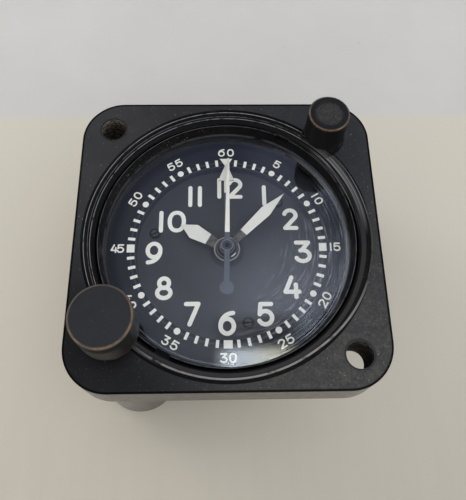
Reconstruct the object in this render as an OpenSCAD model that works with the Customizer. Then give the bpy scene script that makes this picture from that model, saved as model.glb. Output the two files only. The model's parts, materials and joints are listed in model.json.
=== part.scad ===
// Aircraft panel clock: square front, two mounting holes, winding knob, push button,
// time hands and stopwatch hands on one centre, hand-wound movement in a round can.
// Frame: origin on the dial axis at the rear (panel) face of the square front.
// +Z points out of the dial, +Y to twelve o'clock, +X to three o'clock. Millimetres.

/* [Front frame] */
// Width and height of the square front
flange_w = 60.3; // [59.5:0.1:64]
// Thickness of the square front
flange_t = 9.4; // [9.4:0.1:12]
// Corner radius of the square front
flange_corner_r = 8.5; // [6:0.1:9]
// Spacing of the mounting holes along one side
mount_pitch = 47.63; // [47.4:0.01:49]
// Diameter of the mounting holes
mount_hole_d = 5.1; // [4:0.1:5.4]
// Radius of the window below the glass
window_r = 24.9; // [24.7:0.05:25.1]
// Width of the glass seat around the window
seat_w = 1.3; // [1.2:0.05:1.4]
// Width of the cone from the threaded bore up to its mouth
bore_cone_w = 0.6; // [0.4:0.05:0.7]
// Width of the slope from the bore's mouth up to the first step
slope_w = 1.2; // [1:0.05:1.4]
// Width of the first step of the dished opening
step_w = 0.75; // [0.5:0.05:0.9]
// Depth of the first step below the front face
step_depth = 0.25; // [0.1:0.05:0.4]
// Depth of the bore's mouth below the front face
bore_mouth_depth = 1; // [0.8:0.05:1.2]
// Height of the cone between the bore's mouth and the bore
bore_cone_h = 0.8; // [0.4:0.05:1]
// Height of the ledge that carries the minute ring
ledge_z = 0.4; // [0.2:0.05:0.5]
// Width of that ledge
ledge_w = 2.9; // [2.5:0.1:3.2]
// Depth of the spigot that enters the can, behind the panel face
spigot_depth = 3.5; // [3.4:0.05:3.8]

/* [Case] */
// Outer radius of the round can
case_r = 26.3; // [26:0.1:26.8]
// Wall of the can
case_wall = 1.2; // [1:0.05:1.5]
// Depth of the can behind the panel face
case_depth = 29.6; // [29.4:0.1:34]
// Thickness of the can's back
case_back_t = 2.4; // [2.2:0.05:2.6]
// Radius of the two corner lobes
lobe_r = 8.6; // [8.3:0.05:9.1]
// Distance of a lobe's axis from the dial axis, along each side
lobe_offset = 20; // [19.7:0.05:20.3]
// Running gap between parts that slide into each other
fit_gap = 0.1; // [0.06:0.01:0.15]

/* [Glass and ring] */
// Depth of the glass face below the front face
glass_depth = 4.65; // [4.5:0.05:4.8]
// Thickness of the glass
glass_t = 1.3; // [1:0.05:1.4]
// Width of the bevel on the glass rim
glass_bevel = 0.6; // [0.3:0.05:0.8]
// Thickness of the gasket under the glass
gasket_t = 0.5; // [0.3:0.05:0.6]
// Depth of the ring's top edge below the front face
ring_depth = 1.5; // [1.2:0.05:2.4]
// How far the ring's top edge lies inside the threaded bore
ring_lip_inset = 0.5; // [0.4:0.05:0.8]
// Drop of the ring's outer shoulder below its top edge
ring_shoulder = 0.8; // [0.5:0.05:1.2]
// Width of the two spanner notches
notch_w = 3; // [2:0.1:4]
// Depth of the spanner notches
notch_depth = 1.2; // [0.6:0.05:1.6]
// Direction of the first spanner notch, from three o'clock towards twelve
notch_angle = 62; // [50:1:75]

/* [Dial] */
// Height of the inner dial's face
dial_face_z = -0.7; // [-0.8:0.05:-0.6]
// How far the inner dial's rim reaches under the minute ring
dial_lap = 1.45; // [0.95:0.05:1.95]
// Thickness of the inner dial
dial_t = 0.6; // [0.5:0.05:0.65]
// Height of the minute ring's face
chapter_z = 1.35; // [1.2:0.05:1.4]
// Width of the minute ring's face
chapter_w = 5.55; // [5.4:0.05:5.7]
// How much narrower that opening is at the inner dial
chapter_taper = 0.2; // [0.1:0.05:0.3]
// Air between the minute ring and the window
chapter_gap = 0.3; // [0.2:0.05:0.4]
// Distance of the dial screws inside the minute ring's opening
dial_screw_inset = 3.2; // [2.65:0.05:4.05]
// Direction of the first dial screw
dial_screw_angle = 45; // [40:1:50]
// Head radius of the dial screws
dial_screw_r = 0.95; // [0.8:0.05:1.3]
// Head height of the dial screws
dial_screw_h = 0.3; // [0.2:0.05:0.35]
// Shank radius of the dial screws
dial_shank_r = 0.6; // [0.4:0.05:0.7]
// Shank length of the dial screws
dial_shank_l = 1.8; // [1.4:0.1:2.2]
// Radius of the dial posts
dial_post_r = 1.5; // [1.2:0.05:1.7]

/* [Hands] */
// Time shown by the hour hand, clockwise from twelve
hour_angle = 300; // [0:1:360]
// Time shown by the minute hand, clockwise from twelve
minute_angle = 45; // [0:1:360]
// Place of the sweep hand, clockwise from twelve
sweep_angle = 1.3; // [0:0.1:360]
// Thickness of a hand
hand_t = 0.2; // [0.15:0.01:0.22]
// Height of the hour hand
hour_z = 0.4; // [0.3:0.05:0.5]
// Height of the minute hand
minute_z = 0.9; // [0.8:0.05:1]
// Height of the elapsed-minute hand
elapsed_z = 1.9; // [1.8:0.05:2.1]
// Height of the sweep hand
sweep_z = 2.75; // [2.5:0.05:2.8]
// Length of the hour hand
hour_len = 11.3; // [10:0.1:13]
// Distance of the hour hand's shoulders from the axis
hour_shoulder_at = 8.1; // [7:0.1:8.5]
// Half width of the hour hand at its shoulders
hour_shoulder_w = 1.7; // [1.3:0.05:2]
// Half width of the hour hand at its root
hour_root_w = 0.7; // [0.5:0.05:0.9]
// Radius of the hour hand's hub
hour_hub_r = 2.75; // [2.6:0.05:3]
// Length of the minute hand
minute_len = 17.75; // [16:0.05:18]
// Distance of the minute hand's widest place from the axis
minute_shoulder_at = 11.9; // [11:0.1:13]
// Half width of the minute hand at its widest place
minute_shoulder_w = 1.25; // [1:0.05:1.5]
// Half width of the minute hand at its root
minute_root_w = 0.6; // [0.45:0.05:0.8]
// Radius of the minute hand's hub
minute_hub_r = 2.2; // [2:0.05:2.4]
// Length of the elapsed-minute hand
elapsed_len = 19.6; // [18.5:0.1:20]
// Distance of its arrow head's base from the axis
arrow_base_at = 15.3; // [14:0.1:16]
// Half width of its arrow head
arrow_w = 1.75; // [1.2:0.05:2]
// Half width of its stem
elapsed_stem_w = 0.5; // [0.35:0.05:0.6]
// Radius of its hub
elapsed_hub_r = 1.6; // [1.4:0.05:1.9]
// Length of the sweep hand
sweep_len = 20.4; // [19:0.1:21]
// Half width of the sweep hand at its root
sweep_root_w = 0.55; // [0.3:0.05:0.6]
// Half width of the sweep hand at its tip
sweep_tip_w = 0.25; // [0.1:0.05:0.35]
// Distance of the sweep hand's counterweight from the axis
sweep_tail_at = 9.05; // [8:0.1:9.5]
// Radius of the sweep hand's counterweight
sweep_tail_r = 1.45; // [1:0.05:1.6]
// Radius of the sweep hand's hub
sweep_hub_r = 1.3; // [1:0.05:1.5]
// Height of the sweep hand's centre pin above the hand
sweep_pin_h = 0.22; // [0.15:0.01:0.25]

/* [Knob and button] */
// Winding knob, distance of its axis towards three o'clock
knob_x = -21.9; // [-22.1:0.05:-21.7]
// Winding knob, distance of its axis towards twelve o'clock
knob_y = -18.85; // [-19.05:0.05:-18.65]
// Radius of the winding knob
knob_r = 5.7; // [5:0.05:6.4]
// Gap between the knob and the front face
knob_gap = 0.9; // [0.6:0.05:1.4]
// Height of the knob's top above the front face
knob_top = 10; // [8:0.1:12]
// Edge break of the knob and of the button
edge_break = 0.4; // [0.2:0.05:0.5]
// Depth of the stem in the knob
knob_socket = 6.5; // [4:0.1:6.8]
// How far the knob pulls out to set the hands
knob_pull = 1.6; // [1.2:0.1:1.6]
// Push button, distance of its axis towards three o'clock
button_x = 20.5; // [20.3:0.05:20.7]
// Push button, distance of its axis towards twelve o'clock
button_y = 21.7; // [21.5:0.05:21.9]
// Radius of the push button
button_r = 4.15; // [4.05:0.05:4.3]
// Gap between the button and the front face
button_gap = 2; // [1.9:0.05:2.4]
// Height of the button's top above the front face
button_top = 9.6; // [9.2:0.1:11]
// How far the button goes in
button_travel = 1.8; // [1.4:0.1:1.8]
// Radius of the recess under the button
button_recess_r = 4.5; // [4.4:0.05:4.6]
// Depth of the recess under the button
button_recess = 0.9; // [0.6:0.05:0.95]
// Radius of the shallow dish in the button's top
button_dish_r = 2.8; // [2.4:0.05:3]
// Depth of that dish
button_dish = 0.15; // [0.1:0.01:0.25]
// Wall of the button's skirt
button_skirt = 0.65; // [0.5:0.05:0.7]
// Thickness of the button's top
button_roof = 1.7; // [1.4:0.1:2]

/* [Stem and push rod] */
// Radius of the winding stem
stem_r = 1.3; // [1.2:0.05:1.35]
// Outer radius of the stem's bush
stem_bush_r = 2; // [1.9:0.05:2.1]
// Radius of the stem's collar
stem_collar_r = 1.9; // [1.7:0.05:1.95]
// Thickness of the collar and of the thrust ring
stem_collar_t = 0.6; // [0.5:0.05:0.7]
// Height of the boss that carries the stem's rear end
stem_boss_h = 4; // [3.4:0.1:4.4]
// Radius of that boss
stem_boss_r = 2.5; // [2.2:0.1:3]
// Radius of the push rod
rod_r = 1.3; // [1.2:0.05:1.4]
// Outer radius of the push rod's bush
rod_bush_r = 2.2; // [2:0.05:2.3]
// Height of the push rod's bush above the recess
rod_bush_rise = 3; // [2:0.1:3.6]
// Radius of the clip on the push rod
rod_clip_r = 2.1; // [2:0.05:2.3]
// Thickness of the clip on the push rod
rod_clip_t = 0.6; // [0.5:0.05:0.7]
// Radius of the button spring's wire
spring_wire_r = 0.2; // [0.15:0.01:0.22]
// Mean radius of the button spring
spring_r = 2.85; // [2.75:0.01:2.95]
// Turns of the button spring
spring_turns = 6; // [5:1:7]

/* [Plates] */
// Air around the main plate in the can
main_plate_gap = 0.3; // [0.2:0.05:0.6]
// Thickness of the main plate
main_plate_t = 2.2; // [1.8:0.1:2.3]
// Air around the rear plate in the can
rear_plate_gap = 1.5; // [1.4:0.05:1.9]
// Air between the movement's rear end and the can's floor
rear_air = 0.7; // [0.5:0.05:0.7]
// Thickness of the rear plate
rear_plate_t = 1.4; // [1.2:0.1:1.6]
// Radius of the pillars between the plates
pillar_r = 1.6; // [1.2:0.1:1.7]
// Radius of the posts that hold the can
case_post_r = 1.6; // [1.5:0.1:1.7]
// Distance of pillars and posts from the can's wall
pillar_gap = 3.6; // [3.3:0.1:3.7]
// Direction of the first pillar
pillar_angle = 23; // [22:0.5:24]
// Distance of the main plate's screws from the can's wall
plate_screw_gap = 1.6; // [1.5:0.05:1.8]
// Head radius of the small screws
screw_head_r = 1.3; // [1.1:0.05:1.4]
// Head height of the small screws
screw_head_h = 0.8; // [0.6:0.05:1]
// Shank radius of the small screws
screw_shank_r = 0.7; // [0.5:0.05:0.8]
// Thread length of the small screws
screw_grip = 1.4; // [1:0.1:1.6]
// Head radius of the can's screws
case_screw_r = 2.2; // [1.8:0.05:2.4]
// Head height of the can's screws
case_screw_h = 1; // [0.8:0.05:1.1]
// Width of a screwdriver slot
slot_w = 0.4; // [0.3:0.05:0.5]

/* [Movement] */
// Teeth of the barrel
barrel_teeth = 48; // [48:1:48]
// Module of the barrel's teeth
barrel_m = 0.45; // [0.44:0.01:0.46]
// Outer radius of the barrel's drum
drum_r = 10; // [9.6:0.1:10]
// Wall of the barrel's drum
drum_wall = 0.6; // [0.5:0.05:0.8]
// Air between the barrel's drum and the rear plate
drum_air = 1; // [0.8:0.1:1.2]
// Radius of the barrel's arbor
barrel_arbor_r = 2; // [1.8:0.1:2.2]
// Thickness of the mainspring
mainspring_t = 0.3; // [0.2:0.05:0.35]
// Turns of the mainspring
mainspring_turns = 6; // [4:1:6]
// Module of the winding teeth
winding_m = 0.6; // [0.59:0.01:0.61]
// Radius of an arbor
arbor_r = 0.6; // [0.55:0.05:0.7]
// Radius of a pivot
pivot_r = 0.4; // [0.35:0.05:0.45]
// Running gap of a pivot in its hole
pivot_gap = 0.05; // [0.03:0.01:0.08]
// Radius of the sweep arbor
sweep_arbor_r = 0.45; // [0.42:0.01:0.47]
// Wall of each tube around it
tube_wall = 0.28; // [0.26:0.01:0.3]
// Running gap between those tubes
tube_gap = 0.07; // [0.06:0.01:0.08]
// Thickness of a wheel
wheel_t = 0.7; // [0.6:0.05:0.75]
// Length of a pinion's leaves
leaf_l = 1.2; // [1.1:0.05:1.3]
// Tip radius of the escape wheel
escape_r = 4.5; // [4:0.1:4.6]
// Distance between the escape wheel and the lever
lever_reach = 6.3; // [6.2:0.1:6.6]
// Distance between the lever and the balance
fork_reach = 7.6; // [7.5:0.1:7.8]
// Rim radius of the balance
balance_r = 6.2; // [5.6:0.1:6.3]
// Outer radius of the hairspring
hairspring_r = 4.6; // [4:0.1:4.8]
// Turns of the hairspring
hairspring_turns = 4; // [3:1:5]
// Arm of the rocker under the push rod
rocker_arm = 8.4; // [8:0.1:8.8]
// Width of the rocker
rocker_w = 2.4; // [2:0.1:2.6]
// Thickness of the rocker
rocker_t = 1.2; // [1:0.1:1.4]
// Radius of the rocker's pin
rocker_pin_r = 0.7; // [0.6:0.05:0.8]

/* [Hidden] */
$fa = 9;
$fs = 0.45;
// Overlap of joined shapes, and how far a cut runs past a face
eps = 0.01;
over = 1;

// Colours of the plain view
c_frame = [0.09, 0.09, 0.1];
c_can = [0.13, 0.13, 0.14];
c_brass = [0.72, 0.56, 0.27];
c_steel = [0.62, 0.64, 0.67];
c_dial = [0.16, 0.17, 0.19];
c_white = [0.9, 0.9, 0.86];
c_glass = [0.75, 0.82, 0.88, 0.35];
c_rubber = [0.05, 0.05, 0.05];
c_blue = [0.2, 0.26, 0.5];

// Heights of the front stack
glass_top_z = flange_t - glass_depth;
glass_z = glass_top_z - glass_t;
shoulder_z = glass_z - gasket_t;
bore_r = window_r + seat_w;
bore_mouth_r = bore_r + bore_cone_w;
step_r = bore_mouth_r + slope_w;
opening_r = step_r + step_w;
ledge_r = window_r - ledge_w;
chapter_r = window_r - chapter_gap;
chapter_bore_r = chapter_r - chapter_w;
dial_r = chapter_bore_r + dial_lap;
dial_screw_at = chapter_bore_r - dial_screw_inset;
glass_r = bore_r - 2 * fit_gap;
ring_r = bore_r - fit_gap / 2;
ring_top_z = flange_t - ring_depth;
ring_wall_r = window_r;
ring_lip_r = bore_r - ring_lip_inset;
ring_lip_w = (ring_lip_r - ring_wall_r) / 4;
mount_half = mount_pitch / 2;
case_bore_r = case_r - case_wall;
case_floor_z = case_back_t - case_depth;
spigot_r = case_bore_r - fit_gap;
main_plate_r = case_bore_r - main_plate_gap;
rear_plate_r = case_bore_r - rear_plate_gap;
plate_screw_at = case_bore_r - plate_screw_gap;
pillar_at = case_bore_r - pillar_gap;

// Heights behind the panel face, from the front and from the can's floor
ratchet_t = 1;
ratchet_drop = 0.4;
chrono_drop = 0.9;
bridge_t = 1;
bridge_drop = 0.7;
main_front_z = -spigot_depth - fit_gap;
main_rear_z = main_front_z - main_plate_t;
bridge_z = case_floor_z + rear_air + screw_head_h;
counter_wheel_z = bridge_z + bridge_t + bridge_drop;
elapsed_wheel_z = counter_wheel_z + wheel_t + chrono_drop;
ratchet_z = elapsed_wheel_z + wheel_t + chrono_drop;
rear_back_z = ratchet_z + ratchet_t + ratchet_drop;
rear_front_z = rear_back_z + rear_plate_t;
plate_room = main_rear_z - rear_front_z;

// Places of the knob and of the button
knob_xy = [knob_x, knob_y];
button_xy = [button_x, button_y];
knob_dir = knob_xy / norm(knob_xy);
knob_angle = atan2(knob_y, knob_x);
button_angle = atan2(button_y, button_x);
knob_base_z = flange_t + knob_gap;
knob_top_z = flange_t + knob_top;
button_base_z = flange_t + button_gap;
button_top_z = flange_t + button_top;
recess_z = flange_t - button_recess;
cap_room_z = button_top_z - button_roof;
rod_top_z = button_top_z - button_roof / 2;

// Gear proportions, in modules and in shares of a pitch
tooth_add = 0.7;
tooth_ded = 1.05;
tip_half = 0.09;
root_half = 0.2;
function pitch_r(n, m) = n * m / 2;
function tip_r(n, m) = pitch_r(n, m) + tooth_add * m;
function mesh_d(na, nb, m) = pitch_r(na + nb, m);
function polar(r, a) = [r * cos(a), r * sin(a)];
tooth_outline = [
  [-root_half, -tooth_ded], [-tip_half, tooth_add], [tip_half, tooth_add], [root_half, -tooth_ded]
];
function gear_points(n, m) = [
  for (i = [0 : n - 1])
    for (k = tooth_outline)
      polar(pitch_r(n, m) + k[1] * m, (i + k[0]) * 360 / n)
];
// Turn of gear b that puts its gaps on the teeth of gear a, where phi points from a to b
function mesh_turn(phi, turn_a, na, nb) = phi + 180 + (phi - turn_a) * na / nb + 180 / nb;
// Point at ra from a and rb from b, on the left of the line from a to b
function meet(a, ra, b, rb) =
  let (d = norm(b - a), u = (b - a) / d, s = (ra * ra - rb * rb + d * d) / (2 * d))
  a + s * u + sqrt(max(0, ra * ra - s * s)) * [-u[1], u[0]];
function aim(a, b) = atan2(b[1] - a[1], b[0] - a[0]);

// Tooth counts
ratchet_teeth = 40;
winding_teeth = 11;
second_pinion = 6;
second_teeth = 36;
centre_pinion = 12;
centre_teeth = 45;
third_pinion = 6;
third_teeth = 48;
fourth_pinion = 6;
fourth_teeth = 48;
escape_pinion = 6;
escape_teeth = 15;
cannon_teeth = 12;
minute_teeth = 36;
minute_pinion = 8;
hour_teeth = 32;
setting_teeth = 24;
setting_pinion_teeth = 12;
sweep_pinion = 6;
counter_teeth = 45;
counter_pinion = 6;
elapsed_teeth = 48;
centre_m = 0.4;
third_m = 0.35;
fourth_m = 0.3;
cannon_m = 0.4;
elapsed_m = 0.35;
counter_m = elapsed_m * (elapsed_teeth + counter_pinion) / (counter_teeth + sweep_pinion);
hour_m = cannon_m * (cannon_teeth + minute_teeth) / (minute_pinion + hour_teeth);

// Places of the arbors
barrel_xy = knob_xy - knob_dir * mesh_d(ratchet_teeth, winding_teeth, winding_m);
second_xy = meet([0, 0], mesh_d(second_teeth, centre_pinion, barrel_m),
  barrel_xy, mesh_d(barrel_teeth, second_pinion, barrel_m));
third_angle = -15;
third_xy = polar(mesh_d(centre_teeth, third_pinion, centre_m), third_angle);
fourth_angle = 88;
fourth_xy = third_xy + polar(mesh_d(third_teeth, fourth_pinion, third_m), fourth_angle);
escape_angle = 125;
escape_xy = fourth_xy + polar(mesh_d(fourth_teeth, escape_pinion, fourth_m), escape_angle);
lever_angle = 165;
lever_xy = escape_xy + polar(lever_reach, lever_angle);
fork_angle = 185;
balance_xy = lever_xy + polar(fork_reach, fork_angle);
minute_xy = polar(mesh_d(cannon_teeth, minute_teeth, cannon_m), knob_angle);
setting_xy = minute_xy + polar(mesh_d(minute_teeth, setting_teeth, cannon_m), knob_angle);
counter_angle = 100;
counter_xy = polar(mesh_d(elapsed_teeth, counter_pinion, elapsed_m), counter_angle);

// Radii of the nested tubes on the dial axis
elapsed_bore_r = sweep_arbor_r + tube_gap;
elapsed_tube_r = elapsed_bore_r + tube_wall;
centre_bore_r = elapsed_tube_r + tube_gap;
centre_tube_r = centre_bore_r + tube_wall;
cannon_bore_r = centre_tube_r + tube_gap;
cannon_tube_r = cannon_bore_r + tube_wall;
hour_bore_r = cannon_tube_r + tube_gap;
hour_tube_r = hour_bore_r + tube_wall;

// Heights of the wheels between the plates
centre_drop = 0.5;
second_drop = 0.8;
barrel_drop = 0.9;
barrel_disc_t = 1.2;
third_rise = 0.3;
fourth_drop = 1.4;
escape_drop = 1.3;
balance_rise = 0.4;
hairspring_rise = 2;
centre_wheel_z = main_rear_z - centre_drop - wheel_t;
second_wheel_z = centre_wheel_z - second_drop - wheel_t;
barrel_disc_z = second_wheel_z - barrel_drop - barrel_disc_t;
drum_z = rear_front_z + drum_air;
drum_h = barrel_disc_z - drum_z;
third_wheel_z = barrel_disc_z + third_rise;
fourth_wheel_z = third_wheel_z - fourth_drop - wheel_t;
escape_wheel_z = fourth_wheel_z - escape_drop - wheel_t;
balance_z = fourth_wheel_z + balance_rise;
hairspring_z = balance_z + hairspring_rise;
leaf_over = (leaf_l - wheel_t) / 2;
roller_r = 1.4;

// Heights of the rocker and of the push rod's end
rocker_rise = 0.2;
rocker_z = counter_wheel_z + rocker_rise;
rocker_top_z = rocker_z + rocker_t / 2;
rod_end_z = rocker_top_z + 2 * fit_gap;
rocker_pivot = norm(button_xy) - rocker_arm;

// Heights of the motion work under the dial
cannon_rise = 0.15;
minute_rise = 0.1;
motion_t = 0.6;
minute_leaf_l = 1.1;
hour_wheel_rise = 0.25;
setting_drop = 0.25;
cannon_z = main_front_z + cannon_rise;
minute_wheel_z = cannon_z + minute_rise;
minute_leaf_z = minute_wheel_z + motion_t;
hour_wheel_z = minute_leaf_z + hour_wheel_rise;
setting_rest_z = minute_wheel_z - setting_drop - knob_pull - leaf_l;

// Heights on the stem and on the push rod
thrust_drop = 2;
stem_end_rise = 0.7;
thrust_z = -thrust_drop - stem_collar_t;
stem_end_z = case_floor_z + stem_end_rise;
clip_z = -fit_gap - rod_clip_t;

// Click on the ratchet wheel
click_tip_r = 0.3;
click_hub_r = 1.4;
click_at = 15;
click_angle = 115;
click_tip_angle = 90;
click_tip_at = tip_r(ratchet_teeth, winding_m) + click_tip_r + 2 * fit_gap;
click_xy = barrel_xy + polar(click_at, click_angle);
click_tip_xy = barrel_xy + polar(click_tip_at, click_tip_angle);

// Bridge over the stopwatch wheels, with a long and a short arm
bridge_w = 4;
bridge_post_r = 1.3;
bridge_long = 19.6;
bridge_short = 11.4;
bridge_ends = [polar(bridge_long, counter_angle), polar(bridge_short, 0)];

// Windows of a wheel, in shares of its pitch radius
window_count = 5;
window_at = 0.58;
window_size = 0.22;

// Shared shapes

module at(xy, z = 0) {
  translate([xy[0], xy[1], z]) children();
}

module around(count, r, first) {
  for (i = [0 : count - 1])
    rotate(first + i * 360 / count)
      translate([r, 0, 0])
        children();
}

module tube(ro, ri, h) {
  difference() {
    cylinder(r = ro, h = h);
    translate([0, 0, -eps]) cylinder(r = ri, h = h + 2 * eps);
  }
}

module rounded_square(w, r) {
  square([w - 2 * r, w], center = true);
  square([w, w - 2 * r], center = true);
  for (x = [-1, 1])
    for (y = [-1, 1])
      translate([x * (w / 2 - r), y * (w / 2 - r)]) circle(r = r);
}

module spur(n, m, h, turn) {
  rotate(turn) linear_extrude(h) polygon(gear_points(n, m));
}

// Hole through a plate of thickness h that starts at z = 0
module hole(r, h) {
  translate([0, 0, -eps]) cylinder(r = r, h = h + 2 * eps);
}

// Toothed wheel with round windows between its spokes
module crossed_wheel(n, m, turn) {
  difference() {
    spur(n, m, wheel_t, turn);
    around(window_count, window_at * pitch_r(n, m), 0) hole(window_size * pitch_r(n, m), wheel_t);
  }
}

// Arbor with two pivots, from z0 up to z1, with the plates outside
module arbor(z0, z1) {
  play = 2 * fit_gap;
  translate([0, 0, z0 + play]) cylinder(r = arbor_r, h = z1 - z0 - 2 * play);
  translate([0, 0, z0 - rear_plate_t / 2]) cylinder(r = pivot_r, h = z1 - z0 + rear_plate_t);
}

module slotted_screw(head_r, head_h, shank_r, shank_l) {
  difference() {
    cylinder(r = head_r, h = head_h);
    translate([-head_r, -slot_w / 2, head_h / 2]) cube([2 * head_r, slot_w, head_h]);
  }
  translate([0, 0, -shank_l]) cylinder(r = shank_r, h = shank_l + eps);
}

// Flat spiral strip from radius r0 to r1
function spiral_points(r0, r1, turns, steps, t, z_sign) = [
  for (i = [0 : steps * turns])
    let (s = i / (steps * turns))
    polar(r0 + (r1 - r0) * s + z_sign * t / 2, 360 * turns * s)
];

module spiral_strip(r0, r1, turns, t, h) {
  steps = 24;
  outer = spiral_points(r0, r1, turns, steps, t, 1);
  inner = spiral_points(r0, r1, turns, steps, t, -1);
  n = len(inner);
  linear_extrude(h)
    polygon(concat(outer, [for (i = [0 : n - 1]) inner[n - 1 - i]]));
}

// Flat outline of a bar with round ends between two points
module bar(a, b, w) {
  translate(a) rotate(aim(a, b)) translate([0, -w / 2]) square([norm(b - a), w]);
  translate(a) circle(d = w);
  translate(b) circle(d = w);
}

// Case and window

module front_frame() {
  color(c_frame)
  difference() {
    union() {
      linear_extrude(flange_t) rounded_square(flange_w, flange_corner_r);
      translate([0, 0, -spigot_depth]) cylinder(r = spigot_r, h = spigot_depth + eps);
    }
    rotate_extrude()
      polygon([
        [0, -spigot_depth - over], [ledge_r, -spigot_depth - over], [ledge_r, ledge_z],
        [window_r, ledge_z], [window_r, shoulder_z], [bore_r, shoulder_z],
        [bore_r, flange_t - bore_mouth_depth - bore_cone_h], [bore_mouth_r, flange_t - bore_mouth_depth],
        [step_r, flange_t - step_depth], [opening_r, flange_t], [opening_r, flange_t + over],
        [0, flange_t + over]
      ]);
    for (s = [-1, 1])
      translate([s * mount_half, -s * mount_half, -over])
        cylinder(d = mount_hole_d, h = flange_t + 2 * over);
    translate([0, 0, -spigot_depth - over]) {
      at(knob_xy) cylinder(r = stem_bush_r, h = spigot_depth + flange_t + 2 * over);
      at(button_xy) cylinder(r = rod_bush_r, h = spigot_depth + flange_t + 2 * over);
    }
    at(button_xy, recess_z) cylinder(r = button_recess_r, h = button_recess + over);
    at(setting_xy, -spigot_depth - over)
      cylinder(r = tip_r(setting_teeth, cannon_m) + 3 * fit_gap, h = spigot_depth + over - 2 * fit_gap);
    around(3, plate_screw_at, 0)
      translate([0, 0, -spigot_depth - over])
        cylinder(r = screw_shank_r, h = over + screw_grip + 2 * fit_gap);
  }
}

module case_body() {
  cavity_h = case_depth - case_back_t;
  color(c_can)
  difference() {
    union() {
      difference() {
        translate([0, 0, -case_depth])
          union() {
            cylinder(r = case_r, h = case_depth);
            for (s = [-1, 1])
              translate([s * lobe_offset, s * lobe_offset, 0]) cylinder(r = lobe_r, h = case_depth);
          }
        translate([0, 0, case_floor_z]) cylinder(r = case_bore_r, h = cavity_h + eps);
        for (s = [-1, 1])
          translate([s * lobe_offset, s * lobe_offset, case_floor_z])
            cylinder(r = lobe_r - case_wall, h = cavity_h + eps);
        at(barrel_xy, case_floor_z)
          cylinder(r = tip_r(ratchet_teeth, winding_m) + 2 * fit_gap, h = rear_back_z - case_floor_z);
      }
      at(knob_xy, case_floor_z - eps) cylinder(r = stem_boss_r, h = stem_boss_h);
    }
    at(knob_xy, case_floor_z) cylinder(r = stem_r + pivot_gap, h = stem_boss_h + eps);
    around(3, pillar_at, pillar_angle) {
      translate([0, 0, -case_depth - eps])
        cylinder(r = case_screw_r + fit_gap, h = case_screw_h + fit_gap + eps);
      translate([0, 0, -case_depth - eps])
        cylinder(r = screw_shank_r + fit_gap, h = case_back_t + 2 * eps);
    }
  }
}

module case_screws() {
  sunk = case_screw_h + fit_gap;
  color(c_steel)
    around(3, pillar_at, pillar_angle)
      translate([0, 0, sunk - case_depth])
        rotate([180, 0, 0])
          slotted_screw(case_screw_r, case_screw_h, screw_shank_r, case_back_t - sunk + screw_grip);
}

module retaining_ring() {
  color(c_frame)
  difference() {
    rotate_extrude()
      polygon([
        [ring_wall_r, glass_top_z], [ring_r, glass_top_z], [ring_r, ring_top_z - ring_shoulder],
        [ring_lip_r, ring_top_z], [ring_lip_r - ring_lip_w, ring_top_z]
      ]);
    rotate(notch_angle)
      translate([-case_r, -notch_w / 2, ring_top_z - notch_depth])
        cube([2 * case_r, notch_w, notch_depth + over]);
  }
}

module glass() {
  color(c_glass)
  rotate_extrude()
    polygon([
      [0, glass_z], [glass_r, glass_z], [glass_r, glass_top_z - glass_bevel / 2],
      [glass_r - glass_bevel, glass_top_z], [0, glass_top_z]
    ]);
}

module glass_gasket() {
  color(c_rubber)
    translate([0, 0, shoulder_z]) tube(glass_r, window_r, gasket_t);
}

// Dial

module chapter_ring() {
  boss_r = ledge_r - fit_gap;
  color(c_dial)
  rotate_extrude()
    polygon([
      [chapter_bore_r - chapter_taper, dial_face_z], [boss_r, dial_face_z], [boss_r, ledge_z],
      [chapter_r, ledge_z], [chapter_r, chapter_z], [chapter_bore_r, chapter_z]
    ]);
}

module dial() {
  color(c_dial)
  translate([0, 0, dial_face_z - dial_t])
  difference() {
    cylinder(r = dial_r, h = dial_t);
    hole(hour_tube_r + 2 * fit_gap, dial_t);
    around(3, dial_screw_at, dial_screw_angle) hole(dial_shank_r, dial_t);
  }
}

module dial_screws() {
  color(c_steel)
    around(3, dial_screw_at, dial_screw_angle)
      translate([0, 0, dial_face_z]) slotted_screw(dial_screw_r, dial_screw_h, dial_shank_r, dial_shank_l);
}

module dial_posts() {
  post_top = dial_face_z - dial_t;
  color(c_brass)
    around(3, dial_screw_at, dial_screw_angle)
      difference() {
        translate([0, 0, main_front_z]) cylinder(r = dial_post_r, h = post_top - main_front_z);
        translate([0, 0, dial_face_z - dial_shank_l]) cylinder(r = dial_shank_r, h = dial_shank_l);
      }
}

// Plates

module pivot_holes(z, h) {
  for (p = [second_xy, third_xy, fourth_xy, escape_xy, lever_xy, balance_xy])
    at(p, z - eps) cylinder(r = pivot_r + pivot_gap, h = h + 2 * eps);
  at(barrel_xy, z - eps) cylinder(r = barrel_arbor_r + pivot_gap, h = h + 2 * eps);
  translate([0, 0, z - eps]) cylinder(r = centre_tube_r + pivot_gap, h = h + 2 * eps);
}

// Room for the setting pinion and the push rod's clip, where a plate reaches that far
module shaft_holes(z, h) {
  pinion_r = max(stem_collar_r, tip_r(setting_pinion_teeth, cannon_m));
  at(knob_xy, z - eps) cylinder(r = pinion_r + fit_gap, h = h + 2 * eps);
  at(button_xy, z - eps) cylinder(r = rod_clip_r + fit_gap, h = h + 2 * eps);
}

module main_plate() {
  color(c_brass)
  difference() {
    translate([0, 0, main_rear_z]) cylinder(r = main_plate_r, h = main_plate_t);
    pivot_holes(main_rear_z, main_plate_t);
    shaft_holes(main_rear_z, main_plate_t);
    around(3, plate_screw_at, 0)
      translate([0, 0, main_rear_z]) hole(screw_shank_r + fit_gap, main_plate_t);
  }
}

module plate_screws() {
  color(c_steel)
    around(3, plate_screw_at, 0)
      translate([0, 0, main_rear_z])
        rotate([180, 0, 0])
          slotted_screw(screw_head_r, screw_head_h, screw_shank_r, main_plate_t + fit_gap + screw_grip);
}

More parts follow.
